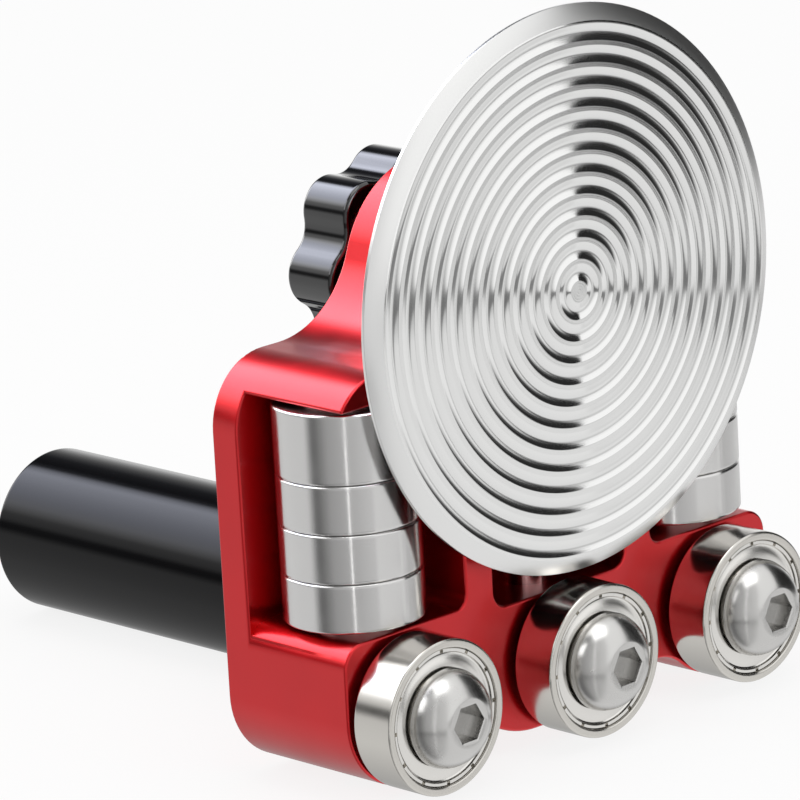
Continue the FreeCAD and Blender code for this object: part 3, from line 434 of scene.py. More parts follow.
def uneven(tree, roughness, low, high, clouds_per_metre, detail):
    """Roughness that drifts between two shares of its value in soft clouds."""
    broad = object_coordinates(tree, clouds_per_metre)
    clouds = add(tree, "ShaderNodeTexNoise", {"Scale": 1.0, "Detail": detail, "Vector": broad})
    spread = {"From Min": 0.3, "From Max": 0.7, "To Min": roughness * low, "To Max": roughness * high}
    return add(tree, "ShaderNodeMapRange", {"Value": clouds, **spread})


def relief(tree, place, grain_mm, bump, detail):
    """Fine bump of random grain, on coordinates where one grain is one unit."""
    grain = add(tree, "ShaderNodeTexNoise", {"Scale": 1.0, "Detail": detail, "Vector": place})
    height = {"Strength": bump, "Distance": grain_mm * MM * GRAIN_RELIEF, "Height": grain}
    return add(tree, "ShaderNodeBump", height)


# %% Bare metal
def bare_metal(name, hex_value, roughness, grain_mm, bump, turned_about=None, anisotropy=0.0, lathe=None):
    """Metal with a fine random grain.

    Turned or ground metal streaks its reflections across its tool marks, which run round the named axis. A
    lathe gives the centre that the grain runs round in rings, and from where outwards the surface is duller.
    """
    material, output = new_material(name)
    tree = material.node_tree
    place = object_coordinates(tree, 1 / (grain_mm * MM), lathe["centre"] if lathe else (0, 0, 0))
    rough = uneven(tree, roughness, 0.8, 1.25, CLOUDS_PER_METRE, 4.0)
    if lathe:
        reach = distance_from_axis(tree, place)
        place = add(tree, "ShaderNodeCombineXYZ", {"X": reach})
        start = lathe["satin from"] / (grain_mm * MM)
        full = start + SATIN_STEP / grain_mm
        outside = add(tree, "ShaderNodeMapRange", {0: reach, 1: start, 2: full}, **SMOOTH)
        dull = add(tree, "ShaderNodeMath", {0: outside, 1: lathe["satin roughness"]}, operation="MULTIPLY")
        rough = add(tree, "ShaderNodeMath", {0: rough, 1: dull}, operation="MAXIMUM")
    inputs = {
        "Base Color": colour(hex_value),
        "Metallic": 1.0,
        "Roughness": rough,
        "Normal": relief(tree, place, grain_mm, bump, 3.0),
        "Anisotropic": anisotropy,
        "Anisotropic Rotation": 0.25 if turned_about else 0.0,
    }
    if turned_about:
        inputs["Tangent"] = add(tree, "ShaderNodeTangent", direction_type="RADIAL", axis=turned_about)
    surface = add(tree, "ShaderNodeBsdfPrincipled", inputs)
    tree.links.new(surface.outputs[0], output.inputs["Surface"])
    return material


# %% Metals of the tool
disc_lo, disc_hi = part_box("forming_disc")
DISC_CENTRE = (disc_lo + disc_hi) / 2
DISC_RADIUS = (disc_hi.x - disc_lo.x) / 2
BEVEL_WIDTH = 2.5 * MM
DISC_LATHE = {"centre": DISC_CENTRE, "satin from": DISC_RADIUS - BEVEL_WIDTH, "satin roughness": 0.3}
# After the colour come roughness, grain in millimetres and bump, then the axis of the tool marks and the
# anisotropy where a metal has them.
finishes = {
    # Face turned to a mirror, which splits into clear black and white crescents, with a satin bevel round it.
    "turned_steel": bare_metal("turned_steel", "E9E9E8", 0.07, 0.2, 0.25, "Y", 0.35, DISC_LATHE),
    # Ground on the outside, so the light strip becomes a soft upright line.
    "ring_steel": bare_metal("ground_ring_steel", "D8D7D6", 0.2, 0.35, 0.1, "Z", 0.8),
    # Hardened and polished, a little warm, and clear enough to mirror the red frame.
    "bearing_steel": bare_metal("polished_bearing_steel", "D3D0CA", 0.17, 0.3, 0.03),
    # Pressed from bright sheet, whose soft shine shows its dish.
    "shield_steel": bare_metal("pressed_shield_steel", "E2E0DC", 0.14, 0.4, 0.05),
    # Bright plated, a soft metal shine without sharp reflections.
    "screw_steel": bare_metal("bright_plated_steel", "CDCCCA", 0.24, 0.5, 0.06),
    # Ground bar, the same soft line as the rings.
    "pin_steel": bare_metal("ground_pin_steel", "D8D8D6", 0.18, 0.3, 0.1, "Z", 0.5),
    # Drawn wire with an oil film, dark and dull.
    "spring_steel": bare_metal("oiled_spring_steel", "6A6A6C", 0.30, 0.5, 0.2),
    # Turned without a coating, pale and matt.
    "core_aluminium": bare_metal("plain_turned_aluminium", "D9DADC", 0.32, 0.4, 0.2),
    # Turned bronze, a warm yellow metal.
    "bush_bronze": bare_metal("turned_bronze", "C79A5B", 0.28, 0.4, 0.2),
}
print(len(finishes), "metals")

# %% [markdown]
# Anodised aluminium is metal seen through a dyed layer, so the red is a coloured metal with a thin clear
# coat over it. The handle's tube is black all through to the eye and mirrors the room only at its surface,
# as the moulded knob does, so both blacks are no metals here.


# %% Coated and moulded surfaces
# A coating is uneven in wider clouds, about 11 mm.
COATED_CLOUDS_PER_METRE = 90


def coated(name, hex_value, metallic, roughness, coat, coat_roughness, index, grain_mm, bump):
    """Dyed or moulded surface with a fine grain, under a clear layer of the given refractive index."""
    material, output = new_material(name)
    tree = material.node_tree
    inputs = {
        "Base Color": colour(hex_value),
        "Metallic": metallic,
        "Roughness": uneven(tree, roughness, 0.85, 1.2, COATED_CLOUDS_PER_METRE, 3.0),
        "Normal": relief(tree, object_coordinates(tree, 1 / (grain_mm * MM)), grain_mm, bump, 4.0),
        "Coat Weight": coat,
        "Coat Roughness": coat_roughness,
        "Coat IOR": index,
    }
    if not metallic:
        inputs["IOR"] = index
    surface = add(tree, "ShaderNodeBsdfPrincipled", inputs)
    tree.links.new(surface.outputs[0], output.inputs["Surface"])
    return material


# After the colour come metallic, roughness, coat, coat roughness, refractive index, grain in millimetres
# and bump.
#
# Blasted and dyed red: a deep metallic red with wide soft highlights, and a clearer shine on top.
finishes["red_anodised"] = coated("red_anodised_aluminium", "D4141D", 1.0, 0.36, 0.7, 0.18, 1.5, 0.25, 0.15)
# Glossy black tube: sharp, weak reflections on black.
finishes["black_anodised"] = coated("black_anodised_tube", "0A0A0C", 0.0, 0.1, 0.0, 0.1, 1.3, 0.4, 0.05)
# Moulded in a polished tool: as black, with a brighter shine on every lobe.
finishes["knob_plastic"] = coated("moulded_black_nylon", "050506", 0.0, 0.08, 0.8, 0.06, 1.5, 0.6, 0.03)
# Plain nylon of the ball cages: cream and matt.
finishes["cage_nylon"] = coated("natural_nylon", "D8D2BC", 0.0, 0.5, 0.0, 0.5, 1.45, 0.5, 0.1)
print(len(finishes), "finishes")

# %% [markdown]
# ## Turned pieces
# Nearly everything here comes off a lathe: disc, rings, bearing rings, screws, pins and handle. Bevelled
# cylinders would do for the plain ones, but a half section spun round the piece's own axis can also hold a
# race, a socket or a dome, so one function spins them all. In most sections each corner is first replaced
# by a small arc with a short straight on both sides, so that the edge break catches a thin highlight and
# the flats next to it stay flat.


# %% Softened section
NEARLY_STRAIGHT = math.radians(165)
ON_AXIS = 1e-9
TOO_SHORT = 1e-6
SIDE_SHARE = 0.3
SUPPORT = 1.5


def soften(section, radius, steps=4, closed=True):
    """Section with its corners rounded, and a support point beside each arc."""
    rounded = []
    count = len(section)
    for index, corner in enumerate(section):
        corner = Vector(corner)
        if not closed and index in (0, count - 1):
            rounded.append(tuple(corner))
            continue
        before = Vector(section[index - 1])
        after = Vector(section[(index + 1) % count])
        back = before - corner
        ahead = after - corner
        angle = back.angle(ahead)
        reach = min(radius / math.tan(angle / 2), back.length * SIDE_SHARE, ahead.length * SIDE_SHARE)
        if angle > NEARLY_STRAIGHT or corner.x < ON_AXIS or reach < TOO_SHORT:
            rounded.append(tuple(corner))
            continue
        start = corner + back.normalized() * reach
        end = corner + ahead.normalized() * reach
        bisector = (back.normalized() + ahead.normalized()).normalized()
        centre = corner + bisector * (reach / math.cos(angle / 2))
        rounded.append(tuple(corner + back.normalized() * reach * SUPPORT))
        first = (start - centre).angle_signed(end - centre)
        for step in range(steps + 1):
            arm = (start - centre).copy()
            arm.rotate(Matrix.Rotation(-first * step / steps, 2))
            rounded.append(tuple(centre + arm))
        rounded.append(tuple(corner + ahead.normalized() * reach * SUPPORT))
    return rounded


# %% From a mesh to a finished piece
SHARP_EDGE = math.radians(32)


def finish_mesh(name, mesh_data, node_names, rides=True):
    """Object from a mesh, with its sharp edges marked and its finish, on its moving body if it rides one."""
    mesh_data.name = name
    mesh_data.shade_smooth()
    mesh_data.set_sharp_from_angle(angle=SHARP_EDGE)
    piece = bpy.data.objects.new(name, mesh_data)
    scene.collection.objects.link(piece)
    slot = slot_of_node[node_names[0]]
    mesh_data.materials.clear()
    mesh_data.materials.append(finishes[slot])
    if rides:
        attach(piece, body_of_node[node_names[0]])
    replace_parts(piece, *node_names)
    return piece


# %% Lathe
def spun(section, axis, centre, segments=128, closed=True):
    """Mesh of revolution about Y or Z through a centre, from radius and height corners in metres.

    A corner with a third value is six-sided, and its radius is measured to the flats.
    """
    sixth = math.pi / 3
    shape = bmesh.new()
    rings = []
    for radius, height, *six_sided in section:
        if radius < ON_AXIS:
            rings.append([shape.verts.new((0, 0, height))])
            continue
        ring = []
        for step in range(segments):
            turn_angle = 2 * math.pi * step / segments
            reach = radius / math.cos(turn_angle % sixth - sixth / 2) if six_sided else radius
            ring.append(shape.verts.new((reach * math.cos(turn_angle), reach * math.sin(turn_angle), height)))
        rings.append(ring)
    for index, ring in enumerate(rings if closed else rings[:-1]):
        following = rings[(index + 1) % len(rings)]
        if len(ring) == 1 and len(following) == 1:
            continue
        for step in range(segments):
            beside = (step + 1) % segments
            corners = [ring[step % len(ring)], ring[beside % len(ring)]]
            corners += [following[beside % len(following)], following[step % len(following)]]
            shape.faces.new(list(dict.fromkeys(corners)))
    bmesh.ops.recalc_face_normals(shape, faces=shape.faces)
    if axis == "Y":
        tipped = Matrix.Rotation(-math.pi / 2, 3, "X")
        bmesh.ops.rotate(shape, verts=shape.verts, cent=(0, 0, 0), matrix=tipped)
    bmesh.ops.translate(shape, verts=shape.verts, vec=centre)
    mesh_data = bpy.data.meshes.new("spun")
    shape.to_mesh(mesh_data)
    shape.free()
    return mesh_data


def ring_section(inner, outer, low, high, softness):
    """Half section of a plain ring or bar."""
    return soften([(inner, low), (outer, low), (outer, high), (inner, high)], softness)


# %% [markdown]
# ## Forming disc
# The disc's face follows a rule: twelve concave rings at an even pitch, with flat lands between them. It
# could be spun from a long list of points, but the rule is shorter and keeps the rings alike, so Geometry
# Nodes turn it into a surface. A flat grid holds the angle along one side and the distance from the middle
# along the other. The nodes bend it round the axis and sink each ring as a shallow bowl. The plain rest,
# rim, back and hub, is spun.

# %% Geometry Nodes helpers
def new_tree(name, inputs):
    """Geometry Nodes tree with named number inputs, its input node and its output node."""
    tree = bpy.data.node_groups.new(name, "GeometryNodeTree")
    tree.interface.new_socket("Geometry", in_out="INPUT", socket_type="NodeSocketGeometry")
    for label, value in inputs.items():
        kind = "NodeSocketInt" if isinstance(value, int) else "NodeSocketFloat"
        socket = tree.interface.new_socket(label, in_out="INPUT", socket_type=kind)
        socket.default_value = value
    tree.interface.new_socket("Geometry", in_out="OUTPUT", socket_type="NodeSocketGeometry")
    return tree, add(tree, "NodeGroupInput"), add(tree, "NodeGroupOutput")


def grown(tree, name, inputs, start_mesh=None):
    """Plain mesh that a tree makes with the given input values."""
    host = bpy.data.objects.new(name, start_mesh or bpy.data.meshes.new(name))
    scene.collection.objects.link(host)
    modifier = host.modifiers.new(name, "NODES")
    modifier.node_group = tree
    for item in tree.interface.items_tree:
        if item.in_out == "INPUT" and item.name in inputs:
            modifier[item.identifier] = inputs[item.name]
    evaluated = host.evaluated_get(bpy.context.evaluated_depsgraph_get())
    result = bpy.data.meshes.new_from_object(evaluated)
    bpy.data.objects.remove(host)
    return result


# %% Grooved face by rule
FACE = {
    "First radius": 2.75 * MM,
    "Pitch": 3.03 * MM,
    "Width": 2.25 * MM,
    "Depth": 0.14 * MM,
    "Rings": 12,
    "Face radius": DISC_RADIUS - BEVEL_WIDTH,
    "Steps": 500,
    "Angles": 161,
}
tree, given, result = new_tree("grooved_face", FACE)
size = {"Size X": 1.0, "Size Y": 1.0}
count = {"Vertices X": given.outputs["Angles"], "Vertices Y": given.outputs["Steps"]}
grid = add(tree, "GeometryNodeMeshGrid", {**size, **count})
place = add(tree, "ShaderNodeSeparateXYZ", {0: add(tree, "GeometryNodeInputPosition")})
turned = add(tree, "ShaderNodeMath", {0: place.outputs["X"], 1: 0.5}, operation="ADD")
angle = add(tree, "ShaderNodeMath", {0: turned, 1: 2 * math.pi}, operation="MULTIPLY")
outwards = add(tree, "ShaderNodeMath", {0: place.outputs["Y"], 1: 0.5}, operation="ADD")
radius = add(tree, "ShaderNodeMath", {0: outwards, 1: given.outputs["Face radius"]}, operation="MULTIPLY")
print("grid:", len(tree.nodes), "nodes")

# %% [markdown]
# The nearest groove has a number, from 0 to the last one, and a point lies some way aside of its middle.
# The bowl is deepest in the middle and ends where the flat lands begin.

# %% Depth of a point in its groove
from_first = add(tree, "ShaderNodeMath", {0: radius, 1: given.outputs["First radius"]}, operation="SUBTRACT")
pitches = add(tree, "ShaderNodeMath", {0: from_first, 1: given.outputs["Pitch"]}, operation="DIVIDE")
nearest = add(tree, "ShaderNodeMath", {0: pitches}, operation="ROUND")
positive = add(tree, "ShaderNodeMath", {0: nearest, 1: 0.0}, operation="MAXIMUM")
last = add(tree, "ShaderNodeMath", {0: given.outputs["Rings"], 1: 1.0}, operation="SUBTRACT")
number = add(tree, "ShaderNodeMath", {0: positive, 1: last}, operation="MINIMUM")
middle = add(tree, "ShaderNodeMath", {0: number, 1: given.outputs["Pitch"]}, operation="MULTIPLY")
aside = add(tree, "ShaderNodeMath", {0: from_first, 1: middle}, operation="SUBTRACT")
half_width = add(tree, "ShaderNodeMath", {0: given.outputs["Width"], 1: 0.5}, operation="MULTIPLY")
share = add(tree, "ShaderNodeMath", {0: aside, 1: half_width}, operation="DIVIDE")
squared = add(tree, "ShaderNodeMath", {0: share, 1: share}, operation="MULTIPLY")
bowl = add(tree, "ShaderNodeMath", {0: 1.0, 1: squared}, operation="SUBTRACT")
inside = add(tree, "ShaderNodeMath", {0: bowl, 1: 0.0}, operation="MAXIMUM")
sunk = add(tree, "ShaderNodeMath", {0: inside, 1: given.outputs["Depth"]}, operation="MULTIPLY")
print("with the grooves:", len(tree.nodes), "nodes")

# %% Face bent round its axis
SEAM_WITHIN = 0.001 * MM
cosine = add(tree, "ShaderNodeMath", {0: angle}, operation="COSINE")
sine = add(tree, "ShaderNodeMath", {0: angle}, operation="SINE")
across = add(tree, "ShaderNodeMath", {0: radius, 1: cosine}, operation="MULTIPLY")
above = add(tree, "ShaderNodeMath", {0: radius, 1: sine}, operation="MULTIPLY")
bent = add(tree, "ShaderNodeCombineXYZ", {"X": across, "Y": sunk, "Z": above})
face = add(tree, "GeometryNodeSetPosition", {"Geometry": grid, "Position": bent})
closed = add(tree, "GeometryNodeMergeByDistance", {"Distance": SEAM_WITHIN, "Geometry": face})
real = add(tree, "GeometryNodeRealizeInstances", {"Geometry": closed})
coat = add(tree, "GeometryNodeSetMaterial", {"Geometry": real, "Material": finishes["turned_steel"]})
tree.links.new(coat.outputs[0], result.inputs[0])
face_mesh = grown(tree, "grooved_face", FACE)
print("grooved face:", len(face_mesh.polygons), "faces")

# %% Rim and back of the disc, and its hub
hub_lo, hub_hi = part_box("disc_hub")
bearing_lo, bearing_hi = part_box("disc_bearing_outer_ring")
circlip_lo, circlip_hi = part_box("disc_bearing_circlip")
CAVITY_RADIUS = 9.0 * MM
RIM_EDGE = 0.55 * MM
PLATE = 1.3 * MM
RIM_SOFTNESS = 0.12 * MM
HUB_SOFTNESS = 0.2 * MM
hub_radius = (hub_hi.x - hub_lo.x) / 2
bore_radius = (bearing_hi.x - bearing_lo.x) / 2
circlip_radius = (circlip_hi.x - circlip_lo.x) / 2
back_section = [
    (FACE["Face radius"], disc_lo.y),
    (DISC_RADIUS, disc_hi.y - RIM_EDGE),
    (DISC_RADIUS, disc_hi.y),
    (CAVITY_RADIUS, disc_hi.y),
    (CAVITY_RADIUS, disc_lo.y + PLATE),
    (0, disc_lo.y + PLATE),
]
hub_section = [
    (CAVITY_RADIUS, hub_lo.y),
    (hub_radius, hub_lo.y),
    (hub_radius, hub_hi.y),
    (bore_radius, hub_hi.y),
    (bore_radius, circlip_hi.y),
    (circlip_radius, circlip_hi.y),
    (circlip_radius, circlip_lo.y),
    (bore_radius, circlip_lo.y),
    (bore_radius, bearing_lo.y),
    (CAVITY_RADIUS, bearing_lo.y),
]
axis_point = (DISC_CENTRE.x, 0, DISC_CENTRE.z)
back_section = soften(back_section, RIM_SOFTNESS, 3, closed=False)
back_mesh = spun(back_section, "Y", axis_point, FACE["Angles"] - 1, closed=False)
hub_mesh = spun(soften(hub_section, HUB_SOFTNESS), "Y", axis_point)
print("back:", len(back_mesh.polygons), "faces")

# %% Face and back joined
JOIN_WITHIN = 0.002 * MM
shape = bmesh.new()
shape.from_mesh(back_mesh)
face_start = len(shape.verts)
shape.from_mesh(face_mesh)
shape.verts.ensure_lookup_table()
face_place = (DISC_CENTRE.x, disc_lo.y, DISC_CENTRE.z)
bmesh.ops.translate(shape, verts=shape.verts[face_start:], vec=face_place)
bmesh.ops.remove_doubles(shape, verts=shape.verts, dist=JOIN_WITHIN)
bmesh.ops.recalc_face_normals(shape, faces=shape.faces)
open_edges = sum(1 for edge in shape.edges if len(edge.link_faces) != 2)
disc_mesh = bpy.data.meshes.new("forming_disc_dressed")
shape.to_mesh(disc_mesh)
shape.free()
finish_mesh("forming_disc_dressed", disc_mesh, ["forming_disc"])
finish_mesh("disc_hub_dressed", hub_mesh, ["disc_hub"])
print("disc:", len(disc_mesh.polygons), "faces,", open_edges, "open edges")

# %% [markdown]
# ## Rings, roller, pins and washers
# These are plain rings and bars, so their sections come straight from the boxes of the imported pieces: outer
# radius and both ends from the box, bore from what they turn on. Only the softness of the edge differs from
# piece to piece.


# %% Plain turned pieces
def plain_ring(node, bore, softness, axis="Z", segments=128):
    """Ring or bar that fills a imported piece's box."""
    lo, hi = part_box(node)
    middle = (lo + hi) / 2
    if axis == "Z":
        centre, low, high = (middle.x, middle.y, 0), lo.z, hi.z
    else:
        centre, low, high = (middle.x, 0, middle.z), lo.y, hi.y
    section = ring_section(bore, (hi.x - lo.x) / 2, low, high, softness)
    return finish_mesh(node + "_dressed", spun(section, axis, centre, segments), [node])


PIN_BORE = 3.05 * MM
WASHER_BORE = 5.25 * MM
RING_SOFTNESS = 0.35 * MM
PIN_SOFTNESS = 0.3 * MM
WASHER_SOFTNESS = 0.15 * MM
for side in ("left", "right"):
    for number in (1, 2, 3, 4):
        plain_ring(f"{side}_ring_{number}", PIN_BORE, RING_SOFTNESS)
    plain_ring(f"{side}_axle_pin", 0, PIN_SOFTNESS, segments=64)
plain_ring("middle_roller", PIN_BORE, RING_SOFTNESS)
washer = plain_ring("thrust_washer", WASHER_BORE, WASHER_SOFTNESS, "Y")
print("plain rings:", len(washer.data.polygons), "faces each")

# %% [markdown]
# ## Ball bearings
# A shielded bearing shows three things: two ground rings, a dished shield between them, and the small gaps
# of the shield's crimped rim. Rings are spun with their race inside. The notches could be cut one by one,
# but they repeat, so the shield is spun too, and Geometry Nodes then place twelve small cutters evenly
# round it and take them away from its rim.

# %% Bearing rings
BALL_PITCH = 7.5 * MM
RACE = 2.05 * MM
RACE_STEPS = 8
BEARING_BORE = 4.0 * MM
BEARING_RADIUS = 11.0 * MM
INNER_EDGE = 6.05 * MM
OUTER_EDGE = 9.15 * MM
SHIELD_SEAT = 9.75 * MM
SEAT_DEPTH = 0.9 * MM
BEARING_SOFTNESS = 0.3 * MM


def race_points(edge_radius, middle, outward):
    """Points along the race where it sinks into a ring whose edge has this radius."""
    drop = edge_radius - BALL_PITCH
    start = math.acos(max(-1, min(1, drop / RACE)))
    sign = 1 if outward else -1
    if not outward:
        start = math.pi - start
    points = []
    for step in range(RACE_STEPS + 1):
        swing = start - 2 * start * step / RACE_STEPS
        points.append((BALL_PITCH + sign * RACE * math.cos(swing), middle + RACE * math.sin(swing)))
    return points


def bearing_rings(name):
    """Inner and outer ring of one bearing."""
    lo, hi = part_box(name + "_outer_ring")
    centre = ((lo.x + hi.x) / 2, 0, (lo.z + hi.z) / 2)
    middle = (lo.y + hi.y) / 2
    outer = [
        (SHIELD_SEAT, lo.y),
        (BEARING_RADIUS, lo.y),
        (BEARING_RADIUS, hi.y),
        (SHIELD_SEAT, hi.y),
        (SHIELD_SEAT, hi.y - SEAT_DEPTH),
        (OUTER_EDGE, hi.y - SEAT_DEPTH),
        *race_points(OUTER_EDGE, middle, True),
        (OUTER_EDGE, lo.y + SEAT_DEPTH),
        (SHIELD_SEAT, lo.y + SEAT_DEPTH),
    ]
    inner = [
        (BEARING_BORE, lo.y),
        (INNER_EDGE, lo.y),
        *reversed(race_points(INNER_EDGE, middle, False)),
        (INNER_EDGE, hi.y),
        (BEARING_BORE, hi.y),
    ]
    for ring, section in (("_outer_ring", outer), ("_inner_ring", inner)):
        mesh_data = spun(soften(section, BEARING_SOFTNESS), "Y", centre)
        finish_mesh(name + ring + "_dressed", mesh_data, [name + ring])


# %% Shields with a crimped rim
NOTCHES = {
    "Notches": 12,
    "Radius": 10.2 * MM,
    "Width": 0.6 * MM,
    "Length": 2.0 * MM,
    "Depth": 1.3 * MM,
}
tree, given, result = new_tree("crimped_rim", NOTCHES)
sides = {"X": given.outputs["Length"], "Y": given.outputs["Width"], "Z": given.outputs["Depth"]}
cutter = add(tree, "GeometryNodeMeshCube", {"Size": add(tree, "ShaderNodeCombineXYZ", sides)})
round_rim = {"Vertices": given.outputs["Notches"], "Radius": given.outputs["Radius"]}
circle = add(tree, "GeometryNodeMeshCircle", round_rim)
position = add(tree, "GeometryNodeInputPosition")
outward = add(tree, "FunctionNodeAlignRotationToVector", {"Vector": position}, axis="X")
placed = {"Points": circle, "Instance": cutter, "Rotation": outward}
cutters = add(tree, "GeometryNodeRealizeInstances", {0: add(tree, "GeometryNodeInstanceOnPoints", placed)})
taken = {"Mesh 1": given.outputs["Geometry"], "Mesh 2": cutters}
notched = add(tree, "GeometryNodeMeshBoolean", taken, operation="DIFFERENCE", solver="EXACT")
real = add(tree, "GeometryNodeRealizeInstances", {0: notched})
coat = add(tree, "GeometryNodeSetMaterial", {"Geometry": real, "Material": finishes["shield_steel"]})
tree.links.new(coat.outputs[0], result.inputs[0])
print("crimped rim:", len(tree.nodes), "nodes")

# %% Dished shield
SHIELD_SOFTNESS = 0.08 * MM
shield_section = [
    (9.68 * MM, 0),
    (SHIELD_SEAT, 0.55 * MM),
    (6.35 * MM, 0.55 * MM),
    (6.35 * MM, 0.4 * MM),
    (6.45 * MM, 0.26 * MM),
    (6.65 * MM, 0.18 * MM),
    (7.0 * MM, 0.16 * MM),
    (8.2 * MM, 0.28 * MM),
    (8.6 * MM, 0.36 * MM),
    (8.85 * MM, 0.37 * MM),
    (9.05 * MM, 0.28 * MM),
    (9.2 * MM, 0),
]
plain_shield = spun(soften(shield_section, SHIELD_SOFTNESS, 3), "Z", (0, 0, 0))
shield_mesh = grown(tree, "crimped_shield", NOTCHES, plain_shield)
print("shield:", len(shield_mesh.polygons), "faces")


# %% Four bearings
SHIELD_SET_BACK = 0.35 * MM


def bearing_shields(name):
    """Both shields of one bearing, facing outwards."""
    lo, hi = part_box(name + "_outer_ring")
    middle = (lo + hi) / 2
    shape = bmesh.new()
    for face_y, tilt in ((lo.y + SHIELD_SET_BACK, -math.pi / 2), (hi.y - SHIELD_SET_BACK, math.pi / 2)):
        start = len(shape.verts)
        shape.from_mesh(shield_mesh)
        shape.verts.ensure_lookup_table()
        fresh = shape.verts[start:]
        bmesh.ops.rotate(shape, verts=fresh, cent=(0, 0, 0), matrix=Matrix.Rotation(tilt, 3, "X"))
        bmesh.ops.translate(shape, verts=fresh, vec=(middle.x, face_y, middle.z))
    both = bpy.data.meshes.new("shields")
    shape.to_mesh(both)
    shape.free()
    finish_mesh(name + "_shields_dressed", both, [name + "_shields"])


for name in ("left_bearing", "middle_bearing", "right_bearing", "disc_bearing"):
    bearing_rings(name)
    bearing_shields(name)
    print(name, "has its rings and shields")

# %% [markdown]
# ## Bearing screws
# Three button head screws hold the front bearings. Their domes are a low arc, and the hex socket could be
# cut with a boolean. Rows of points that follow six flats give it cleaner shading, so one screw is spun
# with its socket in it, and a short Geometry Nodes tree sets it on three points of a line.

# %% Button head screw
HEAD_RADIUS = 7.0 * MM
HEAD_HEIGHT = 4.4 * MM
HEAD_EDGE = 0.5 * MM
CROWN_RADIUS = 3.6 * MM
CROWN_BREAK = 0.1 * MM
DOME_BULGE = 0.75 * MM
DOME_STEPS = 10
SHANK_RADIUS = 4.0 * MM
TIP_BREAK = 0.3 * MM
SOCKET_FLAT = 2.5 * MM
SOCKET_DEPTH = 2.8 * MM
SOCKET_BREAKS = ((0.0, 0.15), (0.05, 0.05), (0.2, 0.0))


def dome_points(rim, crown, bulge):
    """Points of an arc from rim to crown that bulges outwards."""
    rim = Vector(rim)
    crown = Vector(crown)
    chord = crown - rim
    outward = Vector((-chord.y, chord.x)).normalized()
    if outward.x < 0:
        outward = -outward
    radius = ((chord.length / 2) ** 2 + bulge**2) / (2 * bulge)
    centre = (rim + crown) / 2 - outward * (radius - bulge)
    start = math.atan2(rim.y - centre.y, rim.x - centre.x)
    swing = (rim - centre).angle(crown - centre)
    direction = 1 if (rim - centre).cross(crown - centre) > 0 else -1
    points = []
    for step in range(DOME_STEPS + 1):
        angle = start + direction * swing * step / DOME_STEPS
        points.append((centre.x + radius * math.cos(angle), centre.y + radius * math.sin(angle)))
    return points


screws_lo, screws_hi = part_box("bearing_screws")
screw_length = screws_hi.y - screws_lo.y
dome = dome_points((HEAD_RADIUS, HEAD_HEIGHT - HEAD_EDGE), (CROWN_RADIUS, 0), DOME_BULGE)
screw_section = [
    (0, SOCKET_DEPTH),
    (SOCKET_FLAT, SOCKET_DEPTH, 6),
    *((SOCKET_FLAT + out * MM, deep * MM, 6) for out, deep in SOCKET_BREAKS),
    (CROWN_RADIUS - CROWN_BREAK, 0),
    *reversed(dome),
    (HEAD_RADIUS, HEAD_HEIGHT),
    (SHANK_RADIUS, HEAD_HEIGHT),
    (SHANK_RADIUS, screw_length - TIP_BREAK),
    (SHANK_RADIUS - TIP_BREAK, screw_length),
    (0, screw_length),
]
screw_mesh = spun(screw_section, "Y", (0, 0, 0), 96, closed=False)
print("screw:", len(screw_mesh.polygons), "faces")

# %% Row of three screws
bearing_middles = [sum(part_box(side + "_bearing_outer_ring"), Vector()) / 2 for side in ("middle", "right")]
ROW = {"Screws": 3, "Spacing": bearing_middles[1].x - bearing_middles[0].x}
tree, given, result = new_tree("row_of_screws", ROW)
spacing = add(tree, "ShaderNodeCombineXYZ", {"X": given.outputs["Spacing"]})
laid = {"Count": given.outputs["Screws"], "Offset": spacing}
line = add(tree, "GeometryNodeMeshLine", laid, mode="OFFSET")
placed = {"Points": line, "Instance": given.outputs["Geometry"]}
real = add(tree, "GeometryNodeRealizeInstances", {0: add(tree, "GeometryNodeInstanceOnPoints", placed)})
coat = add(tree, "GeometryNodeSetMaterial", {"Geometry": real, "Material": finishes["screw_steel"]})
tree.links.new(coat.outputs[0], result.inputs[0])
row_mesh = grown(tree, "screw_row", ROW, screw_mesh)
row_mesh.transform(Matrix.Translation((-ROW["Spacing"], screws_lo.y, 0)))
finish_mesh("bearing_screws_dressed", row_mesh, ["bearing_screws"])
print("screws:", len(row_mesh.polygons), "faces")

# %% [markdown]
# ## Handle
# The handle is a glossy tube closed by a cap. A bevelled cylinder would come close, but only the outside of
# the tube's far end is rounded over, so its section is drawn and spun like the others. A hairline shows
# where the cap sits in it.

# %% Handle tube and cap
tube_lo, tube_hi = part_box("handle_grip")
cap_lo, cap_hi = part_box("handle_end_cap")
END_ROUND = 0.8 * MM
ROUND_STEPS = 8
SIDE_SUPPORT = 0.3 * MM
END_SUPPORT = 0.2 * MM
CAP_SOFTNESS = 0.25 * MM
handle_radius = tube_hi.x
tube_bore = (cap_hi.x - cap_lo.x) / 2
tube_section = [
    (tube_bore, tube_lo.y),
    (handle_radius, tube_lo.y),
    (handle_radius, tube_hi.y - END_ROUND - SIDE_SUPPORT),
]
for step in range(ROUND_STEPS + 1):
    swing = math.pi / 2 * step / ROUND_STEPS
    inwards = END_ROUND * (1 - math.cos(swing))
    short_of_end = END_ROUND * (1 - math.sin(swing))
    tube_section.append((handle_radius - inwards, tube_hi.y - short_of_end))
tube_section += [(handle_radius - END_ROUND - END_SUPPORT, tube_hi.y), (tube_bore, tube_hi.y)]
tube = finish_mesh("handle_grip_dressed", spun(tube_section, "Y", (0, 0, 0), 160), ["handle_grip"])
cap_section = ring_section(0, tube_bore, cap_lo.y, cap_hi.y, CAP_SOFTNESS)
cap = finish_mesh("handle_end_cap_dressed", spun(cap_section, "Y", (0, 0, 0)), ["handle_end_cap"])
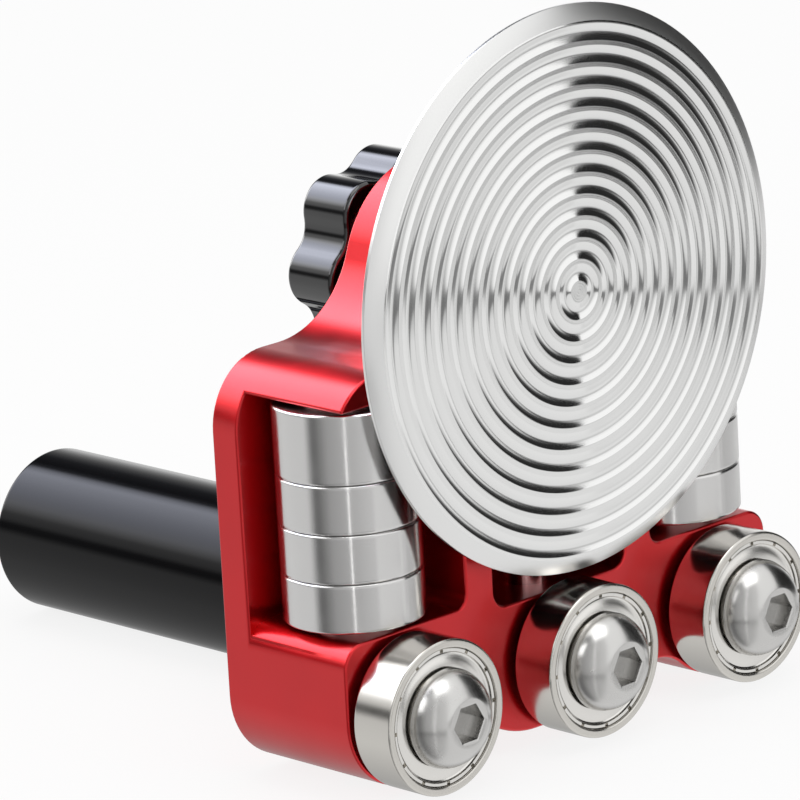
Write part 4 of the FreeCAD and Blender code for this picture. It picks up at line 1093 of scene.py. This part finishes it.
print("handle:", len(tube.data.polygons) + len(cap.data.polygons), "faces")

# %% [markdown]
# ## Frame block and knob
# The frame is one milled block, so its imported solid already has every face, and building it again would
# only bring mistakes. A copy of that mesh is joined up, its flat faces keep their own normals, and only the
# arcs are shaded smooth. The knob is treated the same way.


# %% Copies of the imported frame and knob
COPY_JOIN = 0.0005 * MM
FLAT_WITHIN = math.radians(0.3)
MILLED_EDGE = math.radians(30)
WIRE_EDGE = math.radians(60)


def smooth_copy(node, sharp_edge, rides=True):
    """Joined-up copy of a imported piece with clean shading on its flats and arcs."""
    source = frame["nodes"][node].data
    shape = bmesh.new()
    shape.from_mesh(source)
    bmesh.ops.remove_doubles(shape, verts=shape.verts, dist=COPY_JOIN)
    bmesh.ops.dissolve_limit(shape, angle_limit=FLAT_WITHIN, verts=shape.verts, edges=shape.edges)
    bmesh.ops.recalc_face_normals(shape, faces=shape.faces)
    copy = bpy.data.meshes.new(node)
    shape.to_mesh(copy)
    shape.free()
    piece = finish_mesh(node + "_dressed", copy, [node], rides)
    copy.set_sharp_from_angle(angle=sharp_edge)
    weights = piece.modifiers.new("flat_faces", "WEIGHTED_NORMAL")
    weights.keep_sharp = True
    weights.weight = 100
    return piece


for node in ("frame_block", "adjusting_knob"):
    piece = smooth_copy(node, MILLED_EDGE)
    print(node, len(piece.data.polygons), "faces")

# %% [markdown]
# ## Opening spring
# The coil spring behind the spindle's flange shortens when the knob draws the spindle in. On the real tool
# its back coil stays with the frame, its front coil goes along with the spindle, and the coils between them
# share out the way. The wire could be swept along a new helix, but the imported wire is right already, so a
# copy of it is smoothed instead. The copy rides on no moving body, and its place is baked into its mesh.

# %% Spring between the frame and the spindle
spring = smooth_copy("opening_spring", WIRE_EDGE, rides=False)
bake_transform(spring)
print("spring:", len(spring.data.polygons), "faces")

# %% [markdown]
# ## Pieces that stay as packed
# Everything else sits inside or behind something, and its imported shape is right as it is. It only takes its
# finish.

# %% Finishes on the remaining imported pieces
dressed = {node for piece in scene.objects for node in piece.get("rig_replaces", [])}
for node, piece in frame["nodes"].items():
    if node not in dressed:
        piece.data.materials.clear()
        piece.data.materials.append(finishes[slot_of_node[node]])
print(len(dressed), "pieces rebuilt,", len(frame["nodes"]) - len(dressed), "kept as packed")

# %% Sizes before and after, and the last line
dressed_bounds = [list(corner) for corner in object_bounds()]
for end, was, now in zip(("low", "high"), loaded_bounds, dressed_bounds):
    print(end, "corner moved by", [round((b - a) / MM, 3) for a, b in zip(was, now)], "mm")
